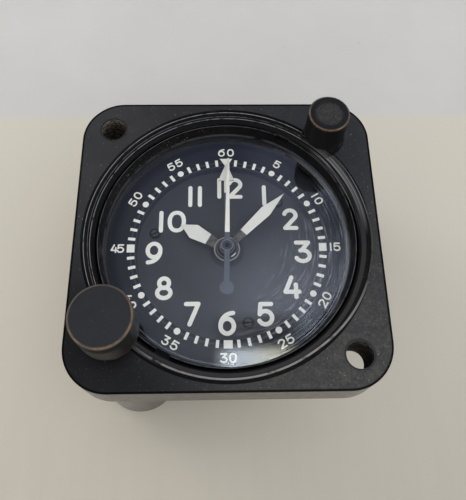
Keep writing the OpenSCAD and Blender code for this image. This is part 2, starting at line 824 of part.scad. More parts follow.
module pillars() {
  color(c_brass)
    around(3, pillar_at, pillar_angle)
      translate([0, 0, rear_front_z]) cylinder(r = pillar_r, h = plate_room);
}

module rear_plate() {
  color(c_brass)
  difference() {
    translate([0, 0, rear_front_z - rear_plate_t]) cylinder(r = rear_plate_r, h = rear_plate_t);
    pivot_holes(rear_back_z, rear_plate_t);
    shaft_holes(rear_back_z, rear_plate_t);
    at(counter_xy, rear_back_z - eps) cylinder(r = pivot_r + pivot_gap, h = rear_plate_t + 2 * eps);
    at(click_xy, rear_back_z - eps) cylinder(r = arbor_r + pivot_gap, h = rear_plate_t + 2 * eps);
  }
}

module case_posts() {
  color(c_brass)
    around(3, pillar_at, pillar_angle)
      difference() {
        translate([0, 0, case_floor_z]) cylinder(r = case_post_r, h = rear_back_z - case_floor_z);
        translate([0, 0, case_floor_z - eps]) cylinder(r = screw_shank_r, h = screw_grip + 3 * fit_gap);
      }
}

module wheel_posts() {
  color(c_steel)
    for (p = [minute_xy, setting_xy])
      at(p, main_front_z) cylinder(r = arbor_r, h = minute_leaf_z + minute_leaf_l / 2 - main_front_z);
}

// Winding and power

module barrel() {
  color(c_brass)
  at(barrel_xy)
  difference() {
    union() {
      translate([0, 0, barrel_disc_z])
        spur(barrel_teeth, barrel_m, barrel_disc_t, aim(barrel_xy, second_xy));
      translate([0, 0, drum_z]) cylinder(r = drum_r, h = drum_h + eps);
    }
    translate([0, 0, drum_z - eps]) cylinder(r = drum_r - drum_wall, h = drum_h + eps);
    translate([0, 0, drum_z]) cylinder(r = barrel_arbor_r + pivot_gap, h = drum_h + barrel_disc_t + over);
  }
}

module barrel_cover() {
  color(c_brass)
    at(barrel_xy, drum_z) tube(drum_r - drum_wall, barrel_arbor_r + pivot_gap, drum_wall);
}

module barrel_arbor() {
  color(c_steel)
    at(barrel_xy, ratchet_z) cylinder(r = barrel_arbor_r, h = main_rear_z + main_plate_t / 2 - ratchet_z);
}

module mainspring() {
  play = 2 * fit_gap;
  z0 = drum_z + drum_wall + play;
  color(c_blue)
    at(barrel_xy, z0)
      spiral_strip(barrel_arbor_r + mainspring_t, drum_r - drum_wall - mainspring_t / 2, mainspring_turns,
        mainspring_t, barrel_disc_z - play - z0);
}

module ratchet_wheel() {
  color(c_steel)
    at(barrel_xy, ratchet_z)
      difference() {
        spur(ratchet_teeth, winding_m, ratchet_t, knob_angle);
        translate([0, 0, -eps]) cylinder(r = barrel_arbor_r, h = ratchet_t + 2 * eps);
      }
}

module click() {
  color(c_steel) {
    translate([0, 0, ratchet_z])
      linear_extrude(ratchet_t) {
        translate(click_xy) circle(r = click_hub_r);
        bar(click_xy, click_tip_xy, 2 * click_tip_r);
      }
    at(click_xy, rear_back_z - ratchet_t) cylinder(r = arbor_r, h = ratchet_t + rear_plate_t / 2);
  }
}

// Going train

module second_wheel() {
  color(c_brass)
  at(second_xy) {
    arbor(rear_front_z, main_rear_z);
    translate([0, 0, second_wheel_z])
      crossed_wheel(second_teeth, barrel_m,
        mesh_turn(aim([0, 0], second_xy), 0, centre_pinion, second_teeth));
    translate([0, 0, barrel_disc_z])
      spur(second_pinion, barrel_m, leaf_l,
        mesh_turn(aim(barrel_xy, second_xy), aim(barrel_xy, second_xy), barrel_teeth, second_pinion));
  }
}

module centre_wheel() {
  color(c_brass)
  difference() {
    union() {
      translate([0, 0, rear_back_z + fit_gap])
        cylinder(r = centre_tube_r, h = minute_leaf_z + minute_leaf_l - rear_back_z);
      translate([0, 0, second_wheel_z - leaf_over]) spur(centre_pinion, barrel_m, leaf_l, 0);
      translate([0, 0, centre_wheel_z]) crossed_wheel(centre_teeth, centre_m, third_angle);
    }
    translate([0, 0, rear_back_z]) cylinder(r = centre_bore_r, h = flange_t - rear_back_z);
  }
}

module third_wheel() {
  color(c_brass)
  at(third_xy) {
    arbor(rear_front_z, main_rear_z);
    translate([0, 0, centre_wheel_z - leaf_over])
      spur(third_pinion, centre_m, leaf_l, mesh_turn(third_angle, third_angle, centre_teeth, third_pinion));
    translate([0, 0, third_wheel_z]) crossed_wheel(third_teeth, third_m, fourth_angle);
  }
}

module fourth_wheel() {
  color(c_brass)
  at(fourth_xy) {
    arbor(rear_front_z, main_rear_z);
    translate([0, 0, third_wheel_z - leaf_over])
      spur(fourth_pinion, third_m, leaf_l,
        mesh_turn(fourth_angle, fourth_angle, third_teeth, fourth_pinion));
    translate([0, 0, fourth_wheel_z]) crossed_wheel(fourth_teeth, fourth_m, escape_angle);
  }
}

module escape_wheel() {
  tooth_h = 1.26;
  foot = 5;
  lean = 9;
  land = 1;
  color(c_steel)
  at(escape_xy) {
    arbor(rear_front_z, main_rear_z);
    translate([0, 0, fourth_wheel_z - leaf_over])
      spur(escape_pinion, fourth_m, leaf_l,
        mesh_turn(escape_angle, escape_angle, fourth_teeth, escape_pinion));
    translate([0, 0, escape_wheel_z])
      linear_extrude(wheel_t)
        polygon([
          for (i = [0 : escape_teeth - 1])
            for (k = [[-foot, -tooth_h], [lean - land, 0], [lean + land, 0], [foot, -tooth_h]])
              polar(escape_r + k[1], k[0] + i * 360 / escape_teeth)
        ]);
  }
}

module pallet_lever() {
  span = 50;
  pallet_gap = 0.2;
  pallet_r = 0.35;
  pallet_at = escape_r + pallet_gap + pallet_r;
  fork_gap = 0.5;
  fork_end = fork_reach - roller_r - fork_gap;
  arm_w = 0.8;
  color(c_steel) {
    at(lever_xy) arbor(rear_front_z, main_rear_z);
    translate([0, 0, escape_wheel_z])
      linear_extrude(wheel_t) {
        for (s = [-1, 1])
          bar(lever_xy, escape_xy + polar(pallet_at, lever_angle + s * span / 2), 2 * pallet_r);
        bar(lever_xy, lever_xy + polar(fork_end, fork_angle), arm_w);
        translate(lever_xy) circle(r = arm_w);
      }
  }
}

module balance_wheel() {
  rim_w = 0.9;
  arms = 3;
  color(c_brass)
  at(balance_xy) {
    arbor(rear_front_z, main_rear_z);
    translate([0, 0, balance_z])
      linear_extrude(wheel_t) {
        difference() {
          circle(r = balance_r);
          circle(r = balance_r - rim_w);
        }
        for (i = [0 : arms - 1])
          rotate(i * 180 / arms) square([2 * balance_r - rim_w, rim_w], center = true);
      }
    translate([0, 0, escape_wheel_z]) cylinder(r = roller_r, h = wheel_t);
  }
}

module hairspring() {
  spring_t = 0.12;
  spring_h = 0.6;
  color(c_blue)
    at(balance_xy, hairspring_z)
      spiral_strip(arbor_r + 2 * fit_gap, hairspring_r, hairspring_turns, spring_t, spring_h);
}

module hairspring_stud() {
  stud_r = 0.5;
  color(c_steel)
    at(balance_xy + [hairspring_r + stud_r + fit_gap / 2, 0], hairspring_z)
      cylinder(r = stud_r, h = main_rear_z - hairspring_z);
}

// Motion work under the dial

module cannon_pinion() {
  color(c_steel)
  difference() {
    union() {
      translate([0, 0, cannon_z]) cylinder(r = cannon_tube_r, h = minute_z - cannon_z);
      translate([0, 0, cannon_z]) spur(cannon_teeth, cannon_m, motion_t + 2 * fit_gap, knob_angle);
    }
    translate([0, 0, cannon_z - eps]) cylinder(r = cannon_bore_r, h = flange_t);
  }
}

module minute_wheel() {
  color(c_brass)
  at(minute_xy)
  difference() {
    union() {
      translate([0, 0, minute_wheel_z])
        spur(minute_teeth, cannon_m, motion_t,
          mesh_turn(knob_angle, knob_angle, cannon_teeth, minute_teeth));
      translate([0, 0, minute_leaf_z - eps])
        spur(minute_pinion, hour_m, minute_leaf_l, knob_angle + 180);
    }
    translate([0, 0, minute_wheel_z - eps]) cylinder(r = arbor_r + pivot_gap, h = flange_t);
  }
}

module hour_wheel() {
  color(c_brass)
  difference() {
    union() {
      translate([0, 0, hour_wheel_z])
        spur(hour_teeth, hour_m, motion_t,
          mesh_turn(knob_angle + 180, knob_angle + 180, minute_pinion, hour_teeth));
      translate([0, 0, hour_wheel_z]) cylinder(r = hour_tube_r, h = hour_z - hour_wheel_z);
    }
    translate([0, 0, hour_wheel_z - eps]) cylinder(r = hour_bore_r, h = flange_t);
  }
}

module setting_wheel() {
  minute_turn = mesh_turn(knob_angle, knob_angle, cannon_teeth, minute_teeth);
  color(c_steel)
  at(setting_xy, minute_wheel_z)
  difference() {
    spur(setting_teeth, cannon_m, motion_t,
      mesh_turn(knob_angle, minute_turn, minute_teeth, setting_teeth));
    translate([0, 0, -eps]) cylinder(r = arbor_r + pivot_gap, h = flange_t);
  }
}

// Hands, drawn pointing to twelve and turned to the time

module hour_hand() {
  color(c_white)
  rotate(-hour_angle)
  translate([0, 0, hour_z])
  difference() {
    union() {
      cylinder(r = hour_hub_r, h = hand_t);
      linear_extrude(hand_t)
        polygon([
          [-hour_root_w, 0], [-hour_shoulder_w, hour_shoulder_at], [0, hour_len],
          [hour_shoulder_w, hour_shoulder_at], [hour_root_w, 0]
        ]);
    }
    translate([0, 0, -eps]) cylinder(r = hour_bore_r, h = hand_t + 2 * eps);
  }
}

module minute_hand() {
  color(c_white)
  rotate(-minute_angle)
  translate([0, 0, minute_z])
  difference() {
    union() {
      cylinder(r = minute_hub_r, h = hand_t);
      linear_extrude(hand_t)
        polygon([
          [-minute_root_w, 0], [-minute_shoulder_w, minute_shoulder_at], [0, minute_len],
          [minute_shoulder_w, minute_shoulder_at], [minute_root_w, 0]
        ]);
    }
    translate([0, 0, -eps]) cylinder(r = cannon_bore_r, h = hand_t + 2 * eps);
  }
}

module elapsed_hand() {
  color(c_white)
  translate([0, 0, elapsed_z])
  difference() {
    union() {
      cylinder(r = elapsed_hub_r, h = hand_t);
      translate([-elapsed_stem_w, 0, 0]) cube([2 * elapsed_stem_w, arrow_base_at + eps, hand_t]);
      linear_extrude(hand_t)
        polygon([[-arrow_w, arrow_base_at], [arrow_w, arrow_base_at], [0, elapsed_len]]);
    }
    translate([0, 0, -eps]) cylinder(r = elapsed_bore_r, h = hand_t + 2 * eps);
  }
}

module sweep_hand() {
  color(c_white)
  rotate(-sweep_angle)
  translate([0, 0, sweep_z])
  difference() {
    union() {
      cylinder(r = sweep_hub_r, h = hand_t);
      linear_extrude(hand_t)
        polygon([
          [-sweep_root_w, -sweep_tail_at], [-sweep_root_w, 0], [-sweep_tip_w, sweep_len],
          [sweep_tip_w, sweep_len], [sweep_root_w, 0], [sweep_root_w, -sweep_tail_at]
        ]);
      translate([0, -sweep_tail_at, 0]) cylinder(r = sweep_tail_r, h = hand_t);
    }
    translate([0, 0, -eps]) cylinder(r = sweep_arbor_r, h = hand_t + 2 * eps);
  }
}

// Stopwatch work behind the rear plate

module sweep_arbor() {
  end_z = bridge_z + bridge_t / 2;
  color(c_steel) {
    translate([0, 0, end_z]) cylinder(r = sweep_arbor_r, h = sweep_z + hand_t + sweep_pin_h - end_z);
    translate([0, 0, counter_wheel_z - leaf_over]) spur(sweep_pinion, counter_m, leaf_l, counter_angle);
  }
}

module elapsed_wheel() {
  color(c_brass)
  difference() {
    union() {
      translate([0, 0, elapsed_wheel_z]) cylinder(r = elapsed_tube_r, h = elapsed_z - elapsed_wheel_z);
      translate([0, 0, elapsed_wheel_z]) crossed_wheel(elapsed_teeth, elapsed_m, counter_angle);
    }
    translate([0, 0, elapsed_wheel_z - eps]) cylinder(r = elapsed_bore_r, h = flange_t - elapsed_wheel_z);
  }
}

module counter_wheel() {
  color(c_brass)
  at(counter_xy) {
    arbor(bridge_z + bridge_t, rear_back_z);
    translate([0, 0, elapsed_wheel_z - leaf_over])
      spur(counter_pinion, elapsed_m, leaf_l,
        mesh_turn(counter_angle, counter_angle, elapsed_teeth, counter_pinion));
    translate([0, 0, counter_wheel_z])
      crossed_wheel(counter_teeth, counter_m,
        mesh_turn(counter_angle, counter_angle, sweep_pinion, counter_teeth));
  }
}

module chrono_bridge() {
  color(c_brass)
  translate([0, 0, bridge_z])
  difference() {
    linear_extrude(bridge_t)
      for (p = bridge_ends)
        bar([0, 0], p, bridge_w);
    translate([0, 0, -eps]) cylinder(r = sweep_arbor_r + pivot_gap, h = bridge_t + 2 * eps);
    at(counter_xy, -eps) cylinder(r = pivot_r + pivot_gap, h = bridge_t + 2 * eps);
    for (p = bridge_ends)
      at(p, -eps) cylinder(r = screw_shank_r + fit_gap, h = bridge_t + 2 * eps);
  }
}

module bridge_posts() {
  post_z = bridge_z + bridge_t;
  color(c_brass)
    for (p = bridge_ends)
      at(p, post_z)
        difference() {
          cylinder(r = bridge_post_r, h = rear_back_z - post_z);
          translate([0, 0, -eps]) cylinder(r = screw_shank_r, h = screw_grip + 2 * fit_gap);
        }
}

module bridge_screws() {
  color(c_steel)
    for (p = bridge_ends)
      at(p, bridge_z)
        rotate([180, 0, 0])
          slotted_screw(screw_head_r, screw_head_h, screw_shank_r, bridge_t + screw_grip);
}

module start_stop_rocker() {
  inner = 7.4;
  outer = 1.2;
  hub_r = 1.5;
  color(c_steel)
  rotate(button_angle)
  translate([rocker_pivot, 0, rocker_z])
  difference() {
    union() {
      translate([-inner, -rocker_w / 2, -rocker_t / 2])
        cube([inner + rocker_arm + outer, rocker_w, rocker_t]);
      rotate([90, 0, 0]) cylinder(r = hub_r, h = rocker_w, center = true);
    }
    rotate([90, 0, 0]) cylinder(r = rocker_pin_r + pivot_gap, h = rocker_w + over, center = true);
  }
}

module rocker_bracket() {
  ear_t = 1;
  ear_half = 1.6;
  base_t = 0.8;
  ear_y = rocker_w / 2 + fit_gap;
  low_z = rocker_z - ear_half;
  color(c_brass)
  rotate(button_angle)
  translate([rocker_pivot, 0, 0]) {
    translate([-ear_half, -ear_y - ear_t, rear_back_z - base_t])
      cube([2 * ear_half, 2 * (ear_y + ear_t), base_t]);
    for (s = [0, 1])
      mirror([0, s, 0])
        translate([-ear_half, ear_y, low_z]) cube([2 * ear_half, ear_t, rear_back_z - low_z]);
    translate([0, 0, rocker_z])
      rotate([90, 0, 0]) cylinder(r = rocker_pin_r, h = 2 * (ear_y + ear_t), center = true);
  }
}

// Push button

module button_cap() {
  color(c_frame)
  at(button_xy)
  rotate_extrude()
    polygon([
      [rod_r, cap_room_z], [button_r - button_skirt, cap_room_z], [button_r - button_skirt, button_base_z],
      [button_r, button_base_z], [button_r, button_top_z - edge_break],
      [button_r - edge_break, button_top_z], [button_dish_r, button_top_z],
      [button_dish_r, button_top_z - button_dish], [0, button_top_z - button_dish],
      [0, rod_top_z], [rod_r, rod_top_z]
    ]);
}

module push_rod() {
  nose_r = 0.4;
  nose_h = 1.2;
  groove_r = rod_r - 2 * fit_gap;
  color(c_steel)
  at(button_xy)
  rotate_extrude()
    polygon([
      [0, rod_end_z], [nose_r, rod_end_z], [rod_r, rod_end_z + nose_h], [rod_r, clip_z],
      [groove_r, clip_z], [groove_r, clip_z + rod_clip_t], [rod_r, clip_z + rod_clip_t],
      [rod_r, rod_top_z], [0, rod_top_z]
    ]);
}

module rod_clip() {
  color(c_steel)
    at(button_xy, clip_z) tube(rod_clip_r, rod_r - 2 * fit_gap, rod_clip_t);
}

module button_bush() {
  color(c_brass)
    at(button_xy)
      tube(rod_bush_r, rod_r + pivot_gap, recess_z + rod_bush_rise);
}

// Round wire swept along a helix, as one closed skin
module helix_wire(r, wire_r, z0, z1, turns) {
  steps = 16;
  sides = 6;
  n = steps * turns;
  pts = [
    for (i = [0 : n])
      let (a = 360 * i / steps, z = z0 + wire_r + (z1 - z0 - 2 * wire_r) * i / n)
      for (k = [0 : sides - 1])
        let (b = 360 * k / sides, q = r + wire_r * cos(b))
        [q * cos(a), q * sin(a), z + wire_r * sin(b)]
  ];
  walls = [
    for (i = [0 : n - 1])
      for (k = [0 : sides - 1])
        let (a = i * sides + k, b = i * sides + (k + 1) % sides)
        [a, a + sides, b + sides, b]
  ];
  first = [for (k = [0 : sides - 1]) k];
  last = [for (k = [0 : sides - 1]) n * sides + sides - 1 - k];
  polyhedron(points = pts, faces = concat([first], walls, [last]));
}

module button_spring() {
  color(c_steel)
    at(button_xy) helix_wire(spring_r, spring_wire_r, recess_z, cap_room_z, spring_turns);
}

// Winding knob

module winding_knob() {
  color(c_frame)
  at(knob_xy)
  rotate_extrude()
    polygon([
      [stem_r, knob_base_z], [knob_r - edge_break / 2, knob_base_z], [knob_r, knob_base_z + edge_break / 2],
      [knob_r, knob_top_z - edge_break], [knob_r - edge_break, knob_top_z], [0, knob_top_z],
      [0, knob_base_z + knob_socket], [stem_r, knob_base_z + knob_socket]
    ]);
}

module winding_stem() {
  color(c_steel)
  at(knob_xy)
  union() {
    translate([0, 0, stem_end_z]) cylinder(r = stem_r, h = knob_base_z + knob_socket - stem_end_z);
    translate([0, 0, thrust_z - stem_collar_t - pivot_gap]) cylinder(r = stem_collar_r, h = stem_collar_t);
  }
}

module stem_bush() {
  color(c_brass)
    at(knob_xy) tube(stem_bush_r, stem_r + pivot_gap, flange_t - 2 * fit_gap);
}

module thrust_ring() {
  color(c_brass)
    at(knob_xy, thrust_z) tube(stem_collar_r, stem_r + pivot_gap, stem_collar_t);
}

module winding_pinion() {
  color(c_steel)
  at(knob_xy, ratchet_z)
  difference() {
    spur(winding_teeth, winding_m, ratchet_t,
      mesh_turn(knob_angle, knob_angle, ratchet_teeth, winding_teeth));
    translate([0, 0, -eps]) cylinder(r = stem_r, h = ratchet_t + 2 * eps);
  }
}

module setting_pinion() {
  color(c_steel)
  at(knob_xy, setting_rest_z)
  difference() {
    spur(setting_pinion_teeth, cannon_m, leaf_l, 0);
    translate([0, 0, -eps]) cylinder(r = stem_r, h = leaf_l + 2 * eps);
  }
}

front_frame();
case_body();
case_screws();
retaining_ring();
glass();
glass_gasket();
chapter_ring();
dial();
dial_screws();
dial_posts();
main_plate();
plate_screws();
pillars();
rear_plate();
case_posts();
wheel_posts();
barrel();
barrel_cover();
barrel_arbor();
mainspring();
ratchet_wheel();
click();
second_wheel();
centre_wheel();
third_wheel();
fourth_wheel();
escape_wheel();
pallet_lever();
balance_wheel();
hairspring();
hairspring_stud();
cannon_pinion();
minute_wheel();
hour_wheel();
setting_wheel();
hour_hand();
minute_hand();
elapsed_hand();
sweep_hand();
sweep_arbor();
elapsed_wheel();
counter_wheel();
chrono_bridge();
bridge_posts();
bridge_screws();
start_stop_rocker();
rocker_bracket();
button_cap();
push_rod();
rod_clip();
button_spring();
button_bush();
winding_knob();
winding_stem();
stem_bush();
thrust_ring();
winding_pinion();
setting_pinion();
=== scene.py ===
import json
import math

import bpy
from mathutils import Matrix, Vector


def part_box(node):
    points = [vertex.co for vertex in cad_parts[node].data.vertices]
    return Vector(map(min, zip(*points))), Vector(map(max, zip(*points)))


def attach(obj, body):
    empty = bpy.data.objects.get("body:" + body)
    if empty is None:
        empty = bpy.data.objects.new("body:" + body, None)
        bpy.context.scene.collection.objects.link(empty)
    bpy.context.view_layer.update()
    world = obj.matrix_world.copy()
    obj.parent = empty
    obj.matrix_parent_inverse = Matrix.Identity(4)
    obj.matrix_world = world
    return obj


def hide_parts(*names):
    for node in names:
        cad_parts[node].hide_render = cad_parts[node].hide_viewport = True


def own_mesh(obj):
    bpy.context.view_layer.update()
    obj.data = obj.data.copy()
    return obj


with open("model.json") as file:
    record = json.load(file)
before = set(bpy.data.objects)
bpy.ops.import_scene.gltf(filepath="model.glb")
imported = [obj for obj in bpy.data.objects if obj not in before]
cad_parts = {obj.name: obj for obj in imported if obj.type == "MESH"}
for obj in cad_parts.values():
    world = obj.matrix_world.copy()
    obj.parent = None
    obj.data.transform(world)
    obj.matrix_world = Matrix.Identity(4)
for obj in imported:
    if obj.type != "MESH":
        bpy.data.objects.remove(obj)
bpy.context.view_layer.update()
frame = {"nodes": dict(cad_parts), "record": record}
NODES = frame["nodes"]
RECORD = frame["record"]
JOINTS = {joint["name"]: joint for joint in RECORD["behaviour"]["joints"]}
BORES = [mount for mount in RECORD["mounts"] if mount["kind"] == "bore"]
MM = 0.001

# Camera, in the row frame, fitted to the viewing angle
CAM_PLACE = (-1.7234 * MM, -46.38 * MM, 124.4637 * MM)
CAM_RIGHT = (0.9996427, -0.0167081, 0.0208650)
CAM_UP = (0.0059225, 0.8996170, 0.4366397)
CAM_BACK = (-0.0260659, -0.4363601, 0.8993945)
CAM_LENS, CAM_SENSOR = 45.29, 36.0
CAM_SHIFT = (-0.00368, -0.12)


def flat_mm(place):
    """The x and y, in mm, of a place in metres."""
    return tuple(c / MM for c in place[:2])


def top_of(node):
    """The height of a node's highest point, in mm."""
    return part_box(node)[1].z / MM


# Places that the materials and the pieces share, in mm
KNOB = flat_mm(JOINTS["knob_turn"]["pos_m"])
BUTTON = flat_mm(sum(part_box("button_cap"), Vector()) / 2)
HOLES = [flat_mm(bore["pos_m"]) for bore in BORES]
HOLE_R = BORES[0]["dims"]["r_mm"]
FACE_Z, CORNER_R, DISH_R = top_of("front_frame"), 8.5, 28.8
FLAT_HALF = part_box("front_frame")[1].x / MM - CORNER_R
KNOB_TOP, BUTTON_TOP = top_of("winding_knob"), top_of("button_cap")
RING_TOP, CHAPTER_TOP, DIAL_TOP = top_of("retaining_ring"), top_of("chapter_ring"), top_of("dial")
CHAPTER_EDGE_R = 19.08
DIAL_SCREW_AT, DIAL_SCREW_R = 15.85, 0.95
DIAL_SCREW_SLOTS = {45: 60, 165: 88, 285: 62}  # clock angle of each screw, and of its slot

# Paint prints, in mm: thickness, depth sunk in, and a small step so that crossing strokes don't share a plane
PAINT_T, PAINT_SINK, STROKE_STEP = 0.03, 0.01, 0.003
CAP_STEPS, CAP_STEP_DEG = 8, 11.0


# Mesh building

def add_mesh(name, verts, faces, material, body, slot):
    """A new piece from points in mm, riding on a body."""
    mesh = bpy.data.meshes.new(name)
    mesh.from_pydata([[c * MM for c in v] for v in verts], [], faces)
    mesh.validate()
    mesh.update()
    piece = bpy.data.objects.new(name, mesh)
    bpy.context.scene.collection.objects.link(piece)
    mesh.materials.append(material)
    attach(piece, body)
    return piece


class Solid:
    """Collects flat paint shapes, each a thin prism, into one mesh."""

    def __init__(self, z):
        self.z, self.verts, self.faces, self.count = z, [], [], 0

    def top(self):
        self.count += 1
        return self.z + PAINT_T + STROKE_STEP * (self.count % 4)

    def prism(self, outline):
        """A convex outline, counter-clockwise."""
        z1, z0, n, k = self.top(), self.z - PAINT_SINK, len(outline), len(self.verts)
        self.verts += [(x, y, z1) for x, y in outline] + [(x, y, z0) for x, y in outline]
        self.faces.append([k + i for i in range(n)])
        self.faces.append([k + n + i for i in reversed(range(n))])
        for i in range(n):
            j = (i + 1) % n
            self.faces.append([k + i, k + n + i, k + n + j, k + j])

    def strip(self, left, right, closed=False):
        """A band between two rows of points."""
        z1, z0, n, k = self.top(), self.z - PAINT_SINK, len(left), len(self.verts)
        for z in (z1, z0):
            self.verts += [(x, y, z) for x, y in left] + [(x, y, z) for x, y in right]
        for i in range(n if closed else n - 1):
            j = (i + 1) % n
            tl, tr, bl, br = k + i, k + n + i, k + 2 * n + i, k + 3 * n + i
            ul, ur, cl, cr = k + j, k + n + j, k + 2 * n + j, k + 3 * n + j
            self.faces += [[tl, tr, ur, ul], [cl, cr, br, bl], [tl, ul, cl, bl], [tr, br, cr, ur]]
        if not closed:
            a, b = k, k + n - 1
            self.faces.append([a, a + 2 * n, a + 3 * n, a + n])
            self.faces.append([b, b + n, b + 3 * n, b + 2 * n])

    @staticmethod
    def cap(direction, half, end):
        """Offsets of a round end, across and along the line."""
        side = Vector((-direction.y, direction.x)) * half
        turns = [math.radians(s * CAP_STEP_DEG) for s in range(1, CAP_STEPS + 1)]
        return [(side * math.cos(t), direction * half * math.sin(t) * end) for t in turns]

    def stroke(self, points, width):
        """A line of even width with round ends, drawn as one band."""
        pts = [Vector(p) for p in points]
        closed = (pts[0] - pts[-1]).length < 1e-6
        if closed:
            pts = pts[:-1]
        n, half, left, right = len(pts), width / 2, [], []
        for i, p in enumerate(pts):
            a = pts[i - 1] if i or closed else p
            b = pts[(i + 1) % n] if i < n - 1 or closed else p
            d = (b - a).normalized()
            side = Vector((-d.y, d.x)) * half
            left.append(p + side)
            right.append(p - side)
        if not closed:
            first = self.cap((pts[1] - pts[0]).normalized(), half, -1)[::-1]
            last = self.cap((pts[-1] - pts[-2]).normalized(), half, 1)
            left = [pts[0] + c + e for c, e in first] + left + [pts[-1] + c + e for c, e in last]
            right = [pts[0] - c + e for c, e in first] + right + [pts[-1] - c + e for c, e in last]
        self.strip(left, right, closed)

    def piece(self, name, material):
        return add_mesh(name, self.verts, self.faces, material, "case", "hand_white")


# Numerals, as centre lines in a box of one by one

def arc(cx, cy, rx, ry, a0, a1, steps=28):
    return [(cx + rx * math.cos(math.radians(a0 + (a1 - a0) * i / steps)),
             cy + ry * math.sin(math.radians(a0 + (a1 - a0) * i / steps))) for i in range(steps + 1)]


def oval(cx, cy, rx, ry, power, steps=48):
    out = []
    for i in range(steps + 1):
        t = 2 * math.pi * i / steps
        c, s = math.cos(t), math.sin(t)
        out.append((cx + rx * math.copysign(abs(c) ** (2 / power), c),
                    cy + ry * math.copysign(abs(s) ** (2 / power), s)))
    return out


SIX = [oval(0.5, 0.36, 0.5, 0.36, 2.0), arc(0.98, 0.40, 0.975, 0.60, 183, 92)]
DIGITS = {
    "0": [oval(0.5, 0.5, 0.5, 0.5, 2.25)],
    "1": [[(0.5, 0), (0.5, 1)]],
    "2": [arc(0.5, 0.72, 0.5, 0.28, 165, -28) + [(0.03, 0.0)], [(0.03, 0), (1, 0)]],
    "3": [[(0.06, 1), (0.95, 1)], [(0.95, 1), (0.42, 0.575)], arc(0.5, 0.29, 0.5, 0.29, 108, -155)],
    "4": [[(0.49, 1), (0.03, 0.265)], [(0.03, 0.265), (1, 0.265)], [(0.775, 0.63), (0.775, 0)]],
    "5": [[(0.13, 1), (0.95, 1)], [(0.13, 1), (0.055, 0.50)], arc(0.48, 0.325, 0.52, 0.325, 146, -152)],
    "6": SIX,
    "7": [[(0, 1), (1, 1)], [(1, 1), (0.3, 0)]],
    "8": [oval(0.5, 0.755, 0.37, 0.245, 2.0), oval(0.5, 0.265, 0.5, 0.265, 2.0)],
    "9": [[(1 - x, 1 - y) for x, y in s] for s in SIX],
}


def draw_digit(solid, digit, centre, wide, high, width, turn=0.0):
    c, s = math.cos(math.radians(turn)), math.sin(math.radians(turn))
    for line in DIGITS[digit]:
        pts = []
        for x, y in line:
            u, v = (x - 0.5) * wide, (y - 0.5) * high
            pts.append((centre[0] + u * c - v * s, centre[1] + u * s + v * c))
        solid.stroke(pts, width)


# Hour numerals: digit, centre x and y, centre-line width, all in mm
HOUR_HIGH, HOUR_STROKE, HOUR_SHIFT = 4.15, 0.9, (0.08, -0.1)
HOUR_DIGITS = [
    ("1", 8.24, 13.05, 2.4), ("2", 13.68, 7.35, 2.47), ("3", 15.92, -0.17, 2.93),
    ("4", 13.24, -7.90, 2.96), ("5", 7.56, -13.47, 2.62), ("6", -0.21, -15.25, 2.66),
    ("7", -7.26, -13.30, 2.47), ("8", -13.10, -7.85, 2.70), ("9", -15.45, -0.17, 2.66),
    ("1", -14.17, 6.95, 2.4), ("0", -10.81, 6.97, 3.04),
    ("1", -7.98, 12.92, 2.4), ("1", -5.89, 12.92, 2.4),
    ("1", -1.63, 14.88, 2.4), ("2", 1.82, 14.84, 2.47),
]

# Minute ring: marks and numerals, in mm
# NUM_CLOSE spreads or closes the digits of one number, NUM_SHIFT moves them sideways
TICK_R, TICK_LONG, TICK_WIDE = 20.0, 1.52, 0.63
DOT_R, DOT_SIDES, SQUARE_LONG, SQUARE_WIDE = 0.67, 24, 1.6, 1.75
ARROW_HALF, ARROW_REACH = 1.4, 0.3
NUM_R, NUM_HIGH, NUM_WIDE, NUM_STROKE, NUM_PITCH = 22.6, 1.57, 1.2, 0.33, 1.8
NUM_CLOSE = {10: 0.85, 15: 0.72, 35: 1.1, 45: 0.74, 50: 1.07, 55: 1.06, 60: 1.12}
NUM_SHIFT = {15: -0.28, 45: -0.15}


def ring_point(angle, r, across=0.0):
    """A point at a clock angle, moved across the radius."""
    t = math.radians(angle)
    return (r * math.sin(t) + across * math.cos(t), r * math.cos(t) - across * math.sin(t))


def block(angle, length, wide):
    """A rectangle on the minute track."""
    r0, r1 = TICK_R - length / 2, TICK_R + length / 2
    return [ring_point(angle, r0, -wide / 2), ring_point(angle, r0, wide / 2),
            ring_point(angle, r1, wide / 2), ring_point(angle, r1, -wide / 2)]


def arrow(angle):
    """A triangle that points at the hub."""
    reach = TICK_LONG / 2 + ARROW_REACH
    return [ring_point(angle, TICK_R + reach, -ARROW_HALF), ring_point(angle, TICK_R - reach),
            ring_point(angle, TICK_R + reach, ARROW_HALF)]


def dot(angle):
    cx, cy = ring_point(angle, TICK_R)
    turns = [2 * math.pi * k / DOT_SIDES for k in range(DOT_SIDES)]
    return [(cx + DOT_R * math.cos(t), cy + DOT_R * math.sin(t)) for t in turns]


def minute_marks(z, material):
    ticks = Solid(z)
    for i in range(60):
        a = i * 6.0
        if i == 0:
            ticks.prism(arrow(a))
        elif i % 15 == 0:
            ticks.prism(block(a, SQUARE_LONG, SQUARE_WIDE))
        elif i % 5 == 0:
            ticks.prism(dot(a))
        else:
            ticks.prism(block(a, TICK_LONG, TICK_WIDE))
    return ticks.piece("minute_marks", material)


